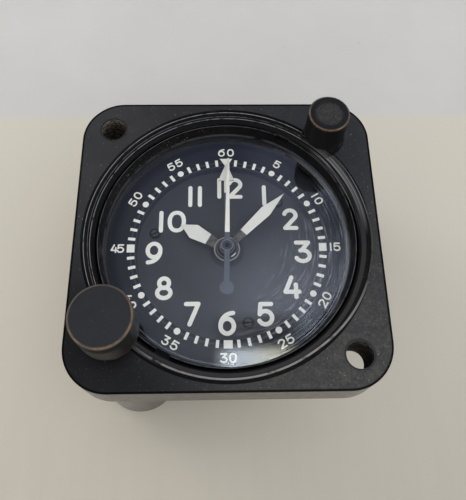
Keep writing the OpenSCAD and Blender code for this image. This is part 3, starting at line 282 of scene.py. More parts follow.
def minute_numerals(z, material):
    solid = Solid(z)
    for n in range(5, 65, 5):
        a, label = n * 6.0, str(n)
        turn = 0.0 if n in (15, 45) else -a if (a <= 90 or a > 270) else 180 - a
        cx, cy = ring_point(a, NUM_R)
        for k, digit in enumerate(label):
            off = (k - (len(label) - 1) / 2) * NUM_PITCH * NUM_CLOSE.get(n, 1.0) + NUM_SHIFT.get(n, 0.0)
            t = math.radians(turn)
            draw_digit(solid, digit, (cx + off * math.cos(t), cy + off * math.sin(t)),
                       NUM_WIDE, NUM_HIGH, NUM_STROKE, turn)
    return solid.piece("minute_numerals", material)


def hour_numerals(z, material):
    solid = Solid(z)
    for digit, x, y, wide in HOUR_DIGITS:
        draw_digit(solid, digit, (x + HOUR_SHIFT[0], y + HOUR_SHIFT[1]), wide, HOUR_HIGH, HOUR_STROKE)
    return solid.piece("hour_numerals", material)


# Button spring, in mm
COIL_R, COIL_WIRE_R, COIL_TURNS = 2.85, 0.2, 6
COIL_STEPS, COIL_SIDES = 32, 10


def coil_mesh(low, high):
    """A tube wound round the button's axis between two heights."""
    n, sides, verts = COIL_STEPS * COIL_TURNS, COIL_SIDES, []
    for i in range(n + 1):
        a = 2 * math.pi * i / COIL_STEPS
        z = low + COIL_WIRE_R + (high - low - 2 * COIL_WIRE_R) * i / n
        for k in range(sides):
            b = 2 * math.pi * k / sides
            q = COIL_R + COIL_WIRE_R * math.cos(b)
            x, y = BUTTON[0] + q * math.cos(a), BUTTON[1] + q * math.sin(a)
            verts.append((x, y, z + COIL_WIRE_R * math.sin(b)))
    faces = []
    for i in range(n):
        for k in range(sides):
            here, there, j = i * sides, (i + 1) * sides, (k + 1) % sides
            faces.append([here + k, there + k, there + j, here + j])
    faces.append(list(range(sides)))
    faces.append([n * sides + k for k in reversed(range(sides))])
    return verts, faces


def button_coil(material):
    """The button's spring as a finer coil."""
    low, high = (corner.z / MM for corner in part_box("button_spring"))
    coil = add_mesh("button_coil", *coil_mesh(low, high), material, "case", "steel")
    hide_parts("button_spring")
    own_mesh(coil)


# Materials

class Tree:
    """Short ways to add and join shader nodes."""

    def __init__(self, tree):
        self.tree = tree
        tree.nodes.clear()

    def node(self, kind, **props):
        n = self.tree.nodes.new(kind)
        for k, v in props.items():
            setattr(n, k, v)
        return n

    def link(self, a, b):
        self.tree.links.new(a, b)

    def put(self, socket, value):
        if isinstance(value, bpy.types.NodeSocket):
            self.link(value, socket)
        else:
            socket.default_value = value

    def math(self, op, a, b=0.0, clamp=False):
        n = self.node("ShaderNodeMath", operation=op, use_clamp=clamp)
        self.put(n.inputs[0], a)
        self.put(n.inputs[1], b)
        return n.outputs[0]

    def both(self, a, b):
        return self.math("MULTIPLY", a, b)

    def spread(self, value, gain, start):
        """A value times a gain, from a start."""
        return self.math("ADD", self.both(value, gain), start)

    def vector(self, op, a, b):
        n = self.node("ShaderNodeVectorMath", operation=op)
        self.put(n.inputs[0], a)
        self.put(n.inputs[1], b)
        return n.outputs["Value" if op in ("DOT_PRODUCT", "LENGTH") else "Vector"]

    def step(self, value, low, high):
        """0 below low, 1 above high, smooth between; low may be the larger."""
        n = self.node("ShaderNodeMapRange", interpolation_type="SMOOTHSTEP")
        self.put(n.inputs["Value"], value)
        flip = low > high
        n.inputs["From Min"].default_value = high if flip else low
        n.inputs["From Max"].default_value = low if flip else high
        n.inputs["To Min"].default_value = 1.0 if flip else 0.0
        n.inputs["To Max"].default_value = 0.0 if flip else 1.0
        return n.outputs["Result"]

    def band(self, value, centre, half, soft):
        """1 within half of the centre, 0 beyond a soft edge."""
        off = self.math("ABSOLUTE", self.math("SUBTRACT", value, centre))
        return self.step(off, half + soft, half)

    def mix(self, fac, a, b):
        n = self.node("ShaderNodeMix", data_type="RGBA")
        self.put(n.inputs[0], fac)
        for socket, value in ((n.inputs[6], a), (n.inputs[7], b)):
            self.put(socket, (*value, 1) if isinstance(value, tuple) else value)
        return n.outputs[2]


class Shader(Tree):
    """One material's node tree, with places in mm in the piece's own frame."""

    def __init__(self, name):
        self.mat = bpy.data.materials.new(name)
        self.mat.use_nodes = True
        super().__init__(self.mat.node_tree)
        self.out = self.node("ShaderNodeOutputMaterial")
        self.bsdf = self.node("ShaderNodeBsdfPrincipled")
        self.link(self.bsdf.outputs["BSDF"], self.out.inputs["Surface"])
        scale = self.node("ShaderNodeVectorMath", operation="SCALE")
        scale.inputs["Scale"].default_value = 1 / MM
        self.link(self.node("ShaderNodeTexCoord").outputs["Object"], scale.inputs[0])
        self.place = scale.outputs["Vector"]

    def axis(self, i):
        n = self.node("ShaderNodeSeparateXYZ")
        self.link(self.place, n.inputs[0])
        return n.outputs[i]

    def radius(self, x=0.0, y=0.0):
        flat = self.vector("MULTIPLY", self.vector("SUBTRACT", self.place, (x, y, 0)), (1, 1, 0))
        return self.vector("LENGTH", flat, (0, 0, 0))

    def facing(self, angle):
        """Cosine of the turn from a clock angle, seen from the dial axis."""
        return self.math("DIVIDE", self.along(angle), self.radius())

    def along(self, angle):
        """Distance from the dial axis along a clock angle."""
        t = math.radians(angle)
        return self.vector("DOT_PRODUCT", self.place, (math.sin(t), math.cos(t), 0))

    def toward(self, centre, angle):
        """Distance from a point's axis along a clock angle."""
        t = math.radians(angle)
        off = self.vector("SUBTRACT", self.place, (*centre, 0))
        return self.vector("DOT_PRODUCT", off, (math.sin(t), math.cos(t), 0))

    def polar(self):
        """Turn and distance round the dial axis, as a place for noise."""
        n = self.node("ShaderNodeCombineXYZ")
        self.put(n.inputs[0], self.math("ARCTAN2", self.axis(1), self.axis(0)))
        self.put(n.inputs[1], self.radius())
        return n.outputs[0]

    def noise(self, scale, detail=3.0, rough=0.55, stretch=(1, 1, 1), place=None):
        n = self.node("ShaderNodeTexNoise")
        n.inputs["Scale"].default_value = scale
        n.inputs["Detail"].default_value = detail
        n.inputs["Roughness"].default_value = rough
        self.link(self.vector("MULTIPLY", place or self.place, stretch), n.inputs["Vector"])
        return n.outputs["Fac"]

    def edge(self, radius_mm):
        """High where the surface turns an edge."""
        bevel = self.node("ShaderNodeBevel", samples=6)
        bevel.inputs["Radius"].default_value = radius_mm * MM
        geo = self.node("ShaderNodeNewGeometry")
        dot = self.vector("DOT_PRODUCT", bevel.outputs["Normal"], geo.outputs["Normal"])
        return self.math("SUBTRACT", 1.0, dot, clamp=True)

    def lies_flat(self):
        """High on faces that look along the dial axis, low on side walls."""
        split = self.node("ShaderNodeSeparateXYZ")
        self.link(self.node("ShaderNodeNewGeometry").outputs["True Normal"], split.inputs[0])
        return self.step(self.math("ABSOLUTE", split.outputs[2]), 0.55, 0.75)

    def bump(self, height, depth_mm, strength=1.0, edge_mm=0.15):
        n = self.node("ShaderNodeBump")
        n.inputs["Strength"].default_value = strength
        n.inputs["Distance"].default_value = depth_mm * MM
        self.link(height, n.inputs["Height"])
        if edge_mm:
            bevel = self.node("ShaderNodeBevel", samples=6)
            bevel.inputs["Radius"].default_value = edge_mm * MM
            self.link(bevel.outputs["Normal"], n.inputs["Normal"])
        self.link(n.outputs["Normal"], self.bsdf.inputs["Normal"])

    def look(self, colour=None, rough=None, metal=None, specular=None):
        for name, value in (("Base Color", colour), ("Roughness", rough), ("Metallic", metal),
                            ("Specular IOR Level", specular)):
            if value is not None:
                self.put(self.bsdf.inputs[name], (*value, 1) if isinstance(value, tuple) else value)
        return self.mat


def dusty(sh, colour, amount=1.0):
    """Fine pale specks and a thin film over a dark paint."""
    film = sh.step(sh.noise(0.11, 4.0), 0.42, 0.75)
    colour = sh.mix(sh.both(film, 0.12 * amount), colour, (0.075, 0.07, 0.062))
    specks = sh.step(sh.noise(3.8, 1.0), 0.745, 0.765)
    colour = sh.mix(sh.both(specks, 0.7 * amount), colour, (0.36, 0.34, 0.30))
    grain = sh.step(sh.noise(5.5, 2.0, 0.7), 0.50, 0.78)
    return sh.mix(sh.both(grain, 0.14 * amount), colour, (0.10, 0.096, 0.088))


def ring_line(sh, colour, r, centre, half, soft, tint, amount, where, broken=None):
    """A line round the dial axis, on the side that where picks; along the dish's and the rings' edges it is a
    painted highlight.
    """
    mask = sh.both(sh.band(r, centre, half, soft), where)
    if broken:
        mask = sh.both(mask, sh.step(sh.noise(broken, 4.0), 0.30, 0.52))
    return sh.mix(sh.both(mask, amount), colour, tint)


def hole_walls(sh, base, z):
    """Walls of the two mounting holes: near black, with dusty grit painted light brown on the upper-left side
    as painted light on the far wall; gives the colour and the share.
    """
    deep = sh.step(z, FACE_Z - 0.04, FACE_Z - 0.14)
    masks = [sh.both(sh.step(sh.radius(*at), HOLE_R + 0.08, HOLE_R + 0.03), deep) for at in HOLES]
    for at, mask, light in zip(HOLES, masks, ((0.20, 0.175, 0.125), (0.15, 0.13, 0.10))):
        # painted light: the grit takes a light brown only towards the upper left of each wall
        grit = sh.both(sh.step(sh.noise(1.6, 5.0, 0.7), 0.35, 0.72), sh.step(sh.toward(at, 335), -2.2, 2.2))
        line = sh.band(sh.radius(*at), HOLE_R + 0.20, 0.10, 0.10)
        line = sh.both(line, sh.step(z, FACE_Z - 0.10, FACE_Z - 0.04))
        base = sh.mix(sh.both(line, 0.9), base, (0.002, 0.002, 0.002))
        base = sh.mix(mask, base, sh.mix(grit, (0.004, 0.0038, 0.0034), light))
    return base, sh.math("MAXIMUM", *masks)


def front_edge(sh, z):
    """High along the rounded outer edge of the front face."""
    out = []
    for i in (0, 1):
        past = sh.math("SUBTRACT", sh.math("ABSOLUTE", sh.axis(i)), FLAT_HALF)
        out.append(sh.math("MAXIMUM", past, 0.0))
    reach = sh.math("SQRT", sh.math("ADD", sh.both(out[0], out[0]), sh.both(out[1], out[1])))
    return sh.both(sh.step(reach, CORNER_R - 0.5, CORNER_R - 0.3), sh.step(z, FACE_Z - 0.65, FACE_Z - 0.45))


def face_colour(sh, gloom):
    """Satin black, with grain and blotches painted warm and lighter at the lower right as a painted sheen,
    specks, a lighter grey towards the left, and shade at the lower left.
    """
    base = sh.mix(sh.noise(0.35, 5.0), (0.0085, 0.0082, 0.0078), (0.0155, 0.0149, 0.0138))
    # painted sheen: grain and blotches show only towards the lower right, where the face catches light
    grain = sh.both(sh.step(sh.noise(1.9, 5.0, 0.75), 0.34, 0.76), sh.step(sh.along(140), 5.0, 38.0))
    base = sh.mix(sh.both(grain, 0.52), base, (0.080, 0.070, 0.052))
    sheen_blotch = sh.both(sh.step(sh.noise(0.6, 6.0, 0.75), 0.44, 0.66), sh.step(sh.along(140), 14.0, 38.0))
    base = sh.mix(sh.both(sheen_blotch, 0.3), base, (0.105, 0.094, 0.074))
    base = sh.mix(sh.both(sh.step(sh.along(290), 18.0, 32.0), 0.26), base, (0.05, 0.05, 0.05))
    base = dusty(sh, base)
    base = sh.mix(sh.both(gloom, 0.6), base, (0.003, 0.003, 0.0034))
    worn = sh.both(sh.step(sh.edge(0.30), 0.06, 0.25), sh.step(sh.noise(0.9, 4.0), 0.46, 0.66))
    return sh.mix(sh.both(worn, 0.3), base, (0.13, 0.105, 0.08))


def dish_marks(sh, base, r, dish):
    """The dish darkened, with turned lines and edge lines painted bright as highlights where they catch the
    light, and a painted sheen towards the upper right.
    """
    base = sh.mix(sh.both(dish, 0.85), base, (0.003, 0.003, 0.0036))
    left = sh.both(sh.step(sh.facing(315), -0.45, 0.3), dish)
    right = sh.both(sh.step(sh.facing(148), 0.18, 0.62), dish)
    dish_sheen = sh.both(sh.step(sh.facing(66), 0.90, 0.985), dish)
    turned = sh.step(sh.noise(1.0, 3.0, 0.6, (0.8, 7.0, 1), sh.polar()), 0.54, 0.70)
    base = sh.mix(sh.both(sh.both(turned, left), 0.35), base, (0.075, 0.074, 0.072))
    base = sh.mix(sh.both(sh.both(sh.band(r, 27.5, 0.25, 0.45), dish_sheen), 0.55), base, (0.10, 0.10, 0.10))
    base = sh.mix(sh.both(sh.both(turned, dish_sheen), 0.8), base, (0.30, 0.30, 0.30))
    base = ring_line(sh, base, r, 28.16, 0.03, 0.05, (0.30, 0.29, 0.28), 0.75, left, 0.5)
    base = ring_line(sh, base, r, 27.05, 0.03, 0.05, (0.22, 0.215, 0.21), 0.8, left, 0.7)
    base = ring_line(sh, base, r, 27.45, 0.03, 0.05, (0.12, 0.12, 0.12), 0.6, left, 0.6)
    slant = sh.spread(sh.step(sh.facing(90), 0.5, 1.05), 0.78, 27.80)
    low = sh.spread(sh.step(sh.facing(172), 0.35, 0.85), 0.65, 0.2)
    base = ring_line(sh, base, r, slant, 0.14, 0.12, (0.23, 0.22, 0.20), low, right, 0.4)
    return ring_line(sh, base, r, 27.05, 0.30, 0.20, (0.030, 0.030, 0.031), 0.8, right)


def frame_paint():
    sh = Shader("satin_black_paint")
    r, z = sh.radius(), sh.axis(2)
    gloom = sh.step(sh.along(222), 18.0, 34.0)
    dish = sh.both(sh.step(r, DISH_R, DISH_R - 0.08), sh.step(z, 7.0, 7.2))
    base = dish_marks(sh, face_colour(sh, gloom), r, dish)
    base, hole = hole_walls(sh, base, z)
    rim = front_edge(sh, z)
    base = sh.mix(sh.both(rim, 0.85), base, (0.0015, 0.0015, 0.0018))
    scratch = sh.step(sh.noise(0.8, 2.0, stretch=(0.12, 3.0, 1)), 0.71, 0.75)
    base = sh.mix(sh.both(scratch, 0.12), base, (0.17, 0.165, 0.16))
    side = sh.step(z, FACE_Z - 0.2, FACE_Z - 0.5)
    rough = sh.spread(sh.noise(0.6, 4.0), 0.20, 0.24)
    rough = sh.math("SUBTRACT", rough, sh.both(side, 0.12))
    rough = sh.math("ADD", rough, sh.both(hole, 0.5), clamp=True)
    sh.bump(sh.noise(3.2, 3.0), 0.02, 0.3, 0.22)
    face_gloom = sh.both(sh.both(gloom, sh.step(z, FACE_Z - 0.2, FACE_Z - 0.1)), 0.5)
    dull = sh.math("MAXIMUM", sh.math("MAXIMUM", sh.both(dish, 0.92), sh.both(hole, 0.9)),
                   sh.math("MAXIMUM", sh.both(rim, 0.9), face_gloom))
    return sh.look(base, rough, 0.0, sh.both(sh.math("SUBTRACT", 1.0, dull), 0.33))


def ring_paint():
    sh = Shader("ring_black_paint")
    r, z = sh.radius(), sh.axis(2)
    base = sh.mix(sh.noise(0.5, 4.0), (0.0016, 0.0016, 0.0018), (0.0042, 0.0041, 0.004))
    left = sh.step(sh.facing(302), 0.35, 0.75)
    wall = sh.step(z, RING_TOP - 0.2, RING_TOP - 0.7)
    dust = sh.both(sh.both(wall, left), sh.step(sh.noise(3.6, 2.0, 0.7), 0.66, 0.72))
    base = sh.mix(sh.both(dust, 0.9), base, (0.55, 0.46, 0.27))
    top, foot = sh.step(z, RING_TOP - 0.4, RING_TOP - 0.2), sh.step(z, RING_TOP - 2.3, RING_TOP - 2.7)
    # painted highlights: light lines along the ring's top edge and its foot
    base = ring_line(sh, base, r, 25.68, 0.05, 0.06, (0.11, 0.11, 0.115), 0.9, top, 0.5)
    base = ring_line(sh, base, r, 25.02, 0.05, 0.10, (0.06, 0.065, 0.075), 0.7, foot, 0.5)
    rough = sh.spread(sh.noise(0.9, 3.0), 0.25, 0.25)
    sh.bump(sh.noise(2.5, 2.0), 0.015, 0.3, 0.12)
    return sh.look(base, rough, 0.0, 0.07)


def worn_cap(sh, base, r, z, rim_r, rim_half, top_z, side):
    """Brass worn bare along the rim of a knob or button; gives the colour and the bare share."""
    rim = sh.both(sh.band(r, rim_r, rim_half, 0.09), sh.step(z, top_z - 0.62, top_z - 0.40))
    bare = sh.spread(sh.step(sh.noise(0.6, 4.0), 0.36, 0.6), 0.7, 0.2)
    rim = sh.both(rim, sh.both(bare, sh.spread(side, 0.75, 0.25)))
    return sh.mix(rim, base, (0.125, 0.077, 0.040)), rim


def knob_paint():
    sh = Shader("knob_worn_paint")
    r, z = sh.radius(*KNOB), sh.axis(2)
    base = sh.mix(sh.noise(0.8, 5.0), (0.005, 0.005, 0.0052), (0.011, 0.0106, 0.010))
    base = dusty(sh, base, 0.25)
    base, rim = worn_cap(sh, base, r, z, 5.44, 0.13, KNOB_TOP, sh.step(sh.toward(KNOB, 155), -4.5, 2.5))
    sheen = sh.both(sh.step(sh.toward(KNOB, 205), 2.0, 5.2), sh.band(z, 13.6, 1.6, 2.2))
    base = sh.mix(sh.both(sheen, 0.7), base, (0.060, 0.057, 0.050))
    side = sh.both(sh.band(z, 10.5, 0.12, 0.2), sh.step(sh.noise(0.6, 3.0), 0.45, 0.62))
    base = sh.mix(sh.both(side, 0.4), base, (0.16, 0.10, 0.05))
    rough = sh.spread(sh.noise(0.7, 4.0), 0.2, 0.32)
    sh.bump(sh.noise(3.0, 3.0), 0.02, 0.35, 0.25)
    top = sh.step(z, KNOB_TOP - 0.8, KNOB_TOP - 0.5)
    return sh.look(base, rough, sh.both(rim, 0.5), sh.spread(top, 0.2, 0.2))


def button_paint():
    sh = Shader("button_worn_paint")
    r, z = sh.radius(*BUTTON), sh.axis(2)
    base = sh.mix(sh.noise(0.8, 5.0), (0.003, 0.003, 0.0031), (0.006, 0.0059, 0.0057))
    disc = sh.both(sh.step(r, 2.9, 2.55), sh.step(z, BUTTON_TOP - 0.4, BUTTON_TOP - 0.25))
    grit = sh.mix(sh.step(sh.noise(4.6, 3.0, 0.7), 0.36, 0.72), (0.008, 0.008, 0.0076), (0.050, 0.048, 0.043))
    base = sh.mix(disc, base, grit)
    base, rim = worn_cap(sh, base, r, z, 3.95, 0.06, BUTTON_TOP, sh.step(sh.toward(BUTTON, 200), -3.0, 2.0))
    rough = sh.spread(disc, 0.35, 0.34)
    height = sh.math("ADD", sh.noise(3.0, 3.0), sh.both(sh.both(disc, sh.noise(2.4, 2.0)), 6.0))
    sh.bump(height, 0.03, 0.5, 0.2)
    top = sh.step(z, BUTTON_TOP - 0.8, BUTTON_TOP - 0.5)
    return sh.look(base, rough, sh.both(rim, 0.5), sh.spread(top, 0.14, 0.06))


def can_paint():
    sh = Shader("can_black_paint")
    base = sh.mix(sh.noise(0.3, 5.0), (0.014, 0.0135, 0.013), (0.030, 0.028, 0.026))
    base = dusty(sh, base, 0.8)
    worn = sh.both(sh.step(sh.edge(0.3), 0.05, 0.25), sh.step(sh.noise(0.6, 4.0), 0.42, 0.6))
    base = sh.mix(sh.both(worn, 0.6), base, (0.20, 0.16, 0.11))
    rough = sh.spread(sh.noise(0.5, 4.0), 0.15, 0.14)
    sh.bump(sh.noise(2.2, 3.0), 0.02, 0.25, 0.25)
    return sh.look(base, rough, 0.0, 0.5)


def dial_paint():
    sh = Shader("dial_charcoal")
    base = sh.mix(sh.noise(0.25, 5.0), (0.047, 0.048, 0.0505), (0.058, 0.059, 0.062))
    base = sh.mix(sh.both(sh.step(sh.noise(2.4, 1.0), 0.74, 0.79), 0.2), base, (0.20, 0.20, 0.21))
    # painted shadow: a dark ring on the dial round the hands' hub
    halo = sh.band(sh.radius(), 3.0, 0.3, 0.6)
    base = sh.mix(sh.both(halo, 0.6), base, (0.012, 0.012, 0.013))
    for angle in DIAL_SCREW_SLOTS:
        off = sh.radius(*ring_point(angle, DIAL_SCREW_AT))
        shade = sh.both(sh.step(off, DIAL_SCREW_R + 0.36, DIAL_SCREW_R + 0.16), 0.85)
        base = sh.mix(shade, base, (0.004, 0.004, 0.004))
    uneven = sh.step(sh.noise(0.2), 0.3, 0.6)
    base = ring_line(sh, base, sh.radius(), 18.78, 0.03, 0.07, (0.085, 0.092, 0.105), 0.7, uneven)
    sh.bump(sh.noise(5.0, 2.0), 0.01, 0.12, 0.0)
    return sh.look(base, sh.spread(sh.noise(1.0, 3.0), 0.2, 0.5), 0.0, 0.25)


def ring_dial_paint():
    sh = Shader("minute_ring_paint")
    r, z = sh.radius(), sh.axis(2)
    base = sh.mix(sh.noise(0.3, 5.0), (0.020, 0.021, 0.024), (0.026, 0.027, 0.030))
    shaded = sh.math("MAXIMUM", sh.step(r, 21.8, 24.3), sh.both(sh.step(sh.along(20), 10.0, 21.0), 0.6))
    base = sh.mix(shaded, base, (0.0035, 0.004, 0.0055))
    face = sh.step(z, CHAPTER_TOP - 0.15, CHAPTER_TOP - 0.05)
    base = ring_line(sh, base, r, TICK_R, 0.10, 0.10, (0.075, 0.082, 0.098), 0.7, face)
    # painted highlight along the chapter ring's inner edge
    base = ring_line(sh, base, r, CHAPTER_EDGE_R, 0.05, 0.06, (0.10, 0.108, 0.125), 0.6, face)
    # painted light: the step's wall is painted lighter, against the shade that falls on it
    wall = sh.both(sh.step(r, CHAPTER_EDGE_R - 0.02, CHAPTER_EDGE_R - 0.06),
                   sh.step(z, CHAPTER_TOP - 0.1, CHAPTER_TOP - 0.2))
    base = sh.mix(sh.both(wall, 0.6), base, (0.040, 0.044, 0.054))
    base = sh.mix(sh.both(sh.step(sh.noise(2.4, 1.0), 0.74, 0.79), 0.2), base, (0.20, 0.20, 0.21))
    sh.bump(sh.noise(5.0, 2.0), 0.01, 0.12, 0.0)
    return sh.look(base, sh.spread(sh.noise(1.0, 3.0), 0.2, 0.45), 0.0, 0.06)


# Colours that the hands and the printed marks share
WHITE_A, WHITE_B = (0.76, 0.745, 0.64), (0.86, 0.84, 0.74)
ROOT_A, ROOT_B = (0.060, 0.056, 0.047), (0.150, 0.139, 0.117)
TAIL = ((0.074, 0.083, 0.101), (0.088, 0.098, 0.118))
# Side walls of the hands, painted near black as the hands' shadow on the dial
HAND_SIDE_SHADOW = (0.006, 0.006, 0.007)


def white_paint():
    """White paint with painted light: it glows a little, though it is no lamp, more towards the upper left
    where the dish shades it.
    """
    sh = Shader("dial_white_paint")
    base = sh.mix(sh.noise(1.6, 3.0), WHITE_A, WHITE_B)
    # painted light: emission that lifts the white marks, stronger towards the upper left
    glow = sh.spread(sh.step(sh.along(305), -12.0, 18.0), 0.16, 0.11)
    sh.put(sh.bsdf.inputs["Emission Color"], base)
    sh.put(sh.bsdf.inputs["Emission Strength"], glow)
    sh.bump(sh.noise(4.0, 3.0), 0.01, 0.3, 0.0)
    return sh.look(base, sh.spread(sh.noise(2.0, 2.0), 0.2, 0.5), 0.0, 0.3)


def hand_paint(name, angle, white_from, hub, disc, line, root=(ROOT_A, ROOT_B), core=None, glint=0.0):
    """White beyond a cut, darker metal nearer the hub; the edges and the hub's turned edge take painted
    highlights, the hub's core a painted shadow, and the side walls a painted shadow.
    """
    sh = Shader(name)
    r = sh.radius()
    white = sh.step(sh.along(angle), white_from - 0.04, white_from + 0.04)
    base = sh.mix(sh.step(sh.noise(1.4, 5.0, 0.65), 0.30, 0.70), *root)
    # painted highlights along the hand's edges and on the hub's turned edge
    base = sh.mix(sh.both(sh.step(sh.edge(0.12), 0.04, 0.2), 0.5), base, line)
    base = sh.mix(sh.step(r, hub + 0.05, hub - 0.05), base, disc)
    base = sh.mix(sh.both(sh.band(r, hub - 0.14, 0.08, 0.09), 0.9), base, line)
    # painted shadow: the core darkened round the foot of the hub above
    if core:
        base = sh.mix(sh.step(r, core + 0.06, core - 0.06), base, (0.005, 0.005, 0.0055))
    if glint:
        shine = sh.both(sh.band(r, hub - 0.16, 0.09, 0.08), sh.step(sh.facing(137), 0.93, 0.985))
        base = sh.mix(sh.both(shine, glint), base, (0.75, 0.75, 0.72))
    base = sh.mix(white, base, sh.mix(sh.noise(1.6, 3.0), WHITE_A, WHITE_B))
    # painted shadow: the side walls go near black
    base = sh.mix(sh.lies_flat(), HAND_SIDE_SHADOW, base)
    rough = sh.spread(white, 0.2, 0.38)
    sh.bump(sh.noise(4.0, 3.0), 0.01, 0.3, 0.05)
    return sh.look(base, rough, 0.0, 0.25)


def screw_heads():
    """Browned heads with a dark slot and a dark edge."""
    sh = Shader("browned_screw")
    base = sh.mix(sh.noise(2.0, 4.0), (0.060, 0.055, 0.044), (0.105, 0.096, 0.076))
    for angle, slot in DIAL_SCREW_SLOTS.items():
        at = ring_point(angle, DIAL_SCREW_AT)
        near = sh.step(sh.radius(*at), DIAL_SCREW_R + 0.3, DIAL_SCREW_R + 0.2)
        edge = sh.step(sh.radius(*at), DIAL_SCREW_R - 0.28, DIAL_SCREW_R - 0.12)
        cut = sh.band(sh.toward(at, slot + 90), 0.0, 0.13, 0.08)
        dark = sh.both(near, sh.math("MAXIMUM", edge, cut))
        base = sh.mix(sh.both(dark, 0.92), base, (0.003, 0.003, 0.003))
    sh.bump(sh.noise(3.0, 2.0), 0.01, 0.3, 0.05)
    return sh.look(base, 0.5, 0.0, 0.2)


def metal(name, dark, light, rough_low, rough_high):
    sh = Shader(name)
    base = sh.mix(sh.noise(1.2, 4.0), dark, light)
    rough = sh.spread(sh.noise(2.4, 3.0), rough_high - rough_low, rough_low)
    sh.bump(sh.noise(3.6, 2.0), 0.01, 0.3, 0.08)
    return sh.look(base, rough, 1.0)


def rubber():
    sh = Shader("gasket_rubber")
    sh.bump(sh.noise(3.0, 3.0), 0.03, 0.4, 0.1)
    return sh.look(sh.mix(sh.noise(1.0, 4.0), (0.012, 0.012, 0.012), (0.03, 0.03, 0.03)), 0.7, 0.0, 0.3)


GLASS_IOR, GLASS_ROUGH = 1.8, 0.012
ARC_AT = (0.25, -0.2)  # axis of the arcs near the glass's edge


def glass_film(sh):
    """Wiping marks and edge lines on the glass; gives the film's share and the dark arcs."""
    streak = sh.step(sh.noise(1.0, 5.0, 0.7, (3.2, 2.6, 1), sh.polar()), 0.48, 0.70)
    right = sh.step(sh.along(116), 4.0, 24.0)
    rim = sh.both(sh.band(sh.radius(), 24.5, 0.35, 0.35), sh.step(sh.facing(80), 0.60, 0.88))
    film = sh.math("ADD", sh.both(sh.both(streak, right), 0.26), sh.both(rim, 0.10))
    low, r = sh.step(sh.facing(136), 0.90, 0.97), sh.radius(*ARC_AT)
    arcs = sh.both(sh.math("MAXIMUM", sh.band(r, 23.75, 0.04, 0.08), sh.band(r, 24.2, 0.04, 0.08)), low)
    pale = sh.both(sh.band(r, 23.98, 0.03, 0.07), low)
    film = sh.math("ADD", film, sh.both(pale, 0.15))
    film = sh.both(film, sh.math("SUBTRACT", 1.0, arcs))
    lower = sh.both(sh.band(sh.radius(), 24.45, 0.06, 0.10), sh.step(sh.facing(195), 0.80, 0.95))
    return sh.math("ADD", film, sh.both(lower, 0.16)), arcs


def join_shaders(sh, share, first, second):
    """One surface mixed from two; gives its output."""
    n = sh.node("ShaderNodeMixShader")
    sh.put(n.inputs[0], share)
    sh.link(first, n.inputs[1])
    sh.link(second, n.inputs[2])
    return n.outputs[0]


def clear_glass():
    """A thin clear sheet: it mirrors by its angle, lets the rest through, and carries a faint film."""
    sh = Shader("clear_glass")
    film, arcs = glass_film(sh)
    sh.look((0.80, 0.83, 0.88), sh.spread(film, 2.0, 0.015), 0.0, 0.5)
    fresnel = sh.node("ShaderNodeFresnel")
    fresnel.inputs["IOR"].default_value = GLASS_IOR
    front = sh.math("SUBTRACT", 1.0, sh.node("ShaderNodeNewGeometry").outputs["Backfacing"])
    gloss = sh.node("ShaderNodeBsdfGlossy")
    gloss.inputs["Roughness"].default_value = GLASS_ROUGH
    clear = sh.node("ShaderNodeBsdfTransparent")
    mirror = sh.both(fresnel.outputs[0], sh.math("SUBTRACT", 1.0, sh.both(arcs, 0.85)))
    sheet = join_shaders(sh, sh.both(mirror, front), clear.outputs[0], gloss.outputs[0])
    veiled = join_shaders(sh, sh.both(film, front), sheet, sh.bsdf.outputs[0])
    sh.link(veiled, sh.out.inputs["Surface"])
    return sh.mat


def floor_paper():
    """Beige paper in front, greyer paper behind its far edge."""
    sh = Shader("floor_paper")
    y = sh.axis(1)
    edge = sh.math("ADD", y, sh.both(sh.noise(0.02, 3.0), 3.0))
    back = sh.step(edge, 51.5, 55.0)
    beige = sh.mix(sh.noise(0.012, 3.0), (0.520, 0.480, 0.388), (0.560, 0.515, 0.420))
    fibres = sh.noise(0.3, 3.0, 0.6, (1.0, 0.12, 1))
    near = sh.mix(fibres, (0.450, 0.406, 0.326), (0.492, 0.446, 0.360))
    beige = sh.mix(sh.step(y, 5.0, -60.0), beige, near)
    grey = sh.mix(sh.noise(0.05, 5.0), (0.470, 0.455, 0.415), (0.540, 0.522, 0.478))
    flecks = sh.both(sh.step(sh.noise(0.32, 3.0, 0.7), 0.70, 0.78), 0.22)
    grey = sh.mix(flecks, grey, (0.30, 0.28, 0.25))
    sh.bump(sh.noise(1.2, 4.0), 0.05, 0.15, 0.0)
    return sh.look(sh.mix(back, beige, grey), 0.8, 0.0, 0.2)


def hand_paints():
    """Each hand's clock angle, the cut where its white begins, and its hub's radius and colours."""
    return {
        "hour_hand": hand_paint("hour_hand_paint", 300, 4.54, 2.75,
                                disc=(0.085, 0.076, 0.066), line=(0.34, 0.31, 0.27), core=2.28),
        "minute_hand": hand_paint("minute_hand_paint", 45, 5.0, 2.2,
                                  disc=(0.008, 0.008, 0.009), line=(0.085, 0.085, 0.085), glint=1.0),
        "elapsed_hand": hand_paint("elapsed_hand_paint", 0, 12.35, 1.6,
                                   disc=(0.012, 0.0125, 0.014), line=(0.13, 0.136, 0.15), root=TAIL),
        "sweep_hand": hand_paint("sweep_hand_paint", 1.3, 2.9, 1.3,
                                 disc=(0.036, 0.038, 0.045), line=(0.14, 0.147, 0.162), root=TAIL),
    }


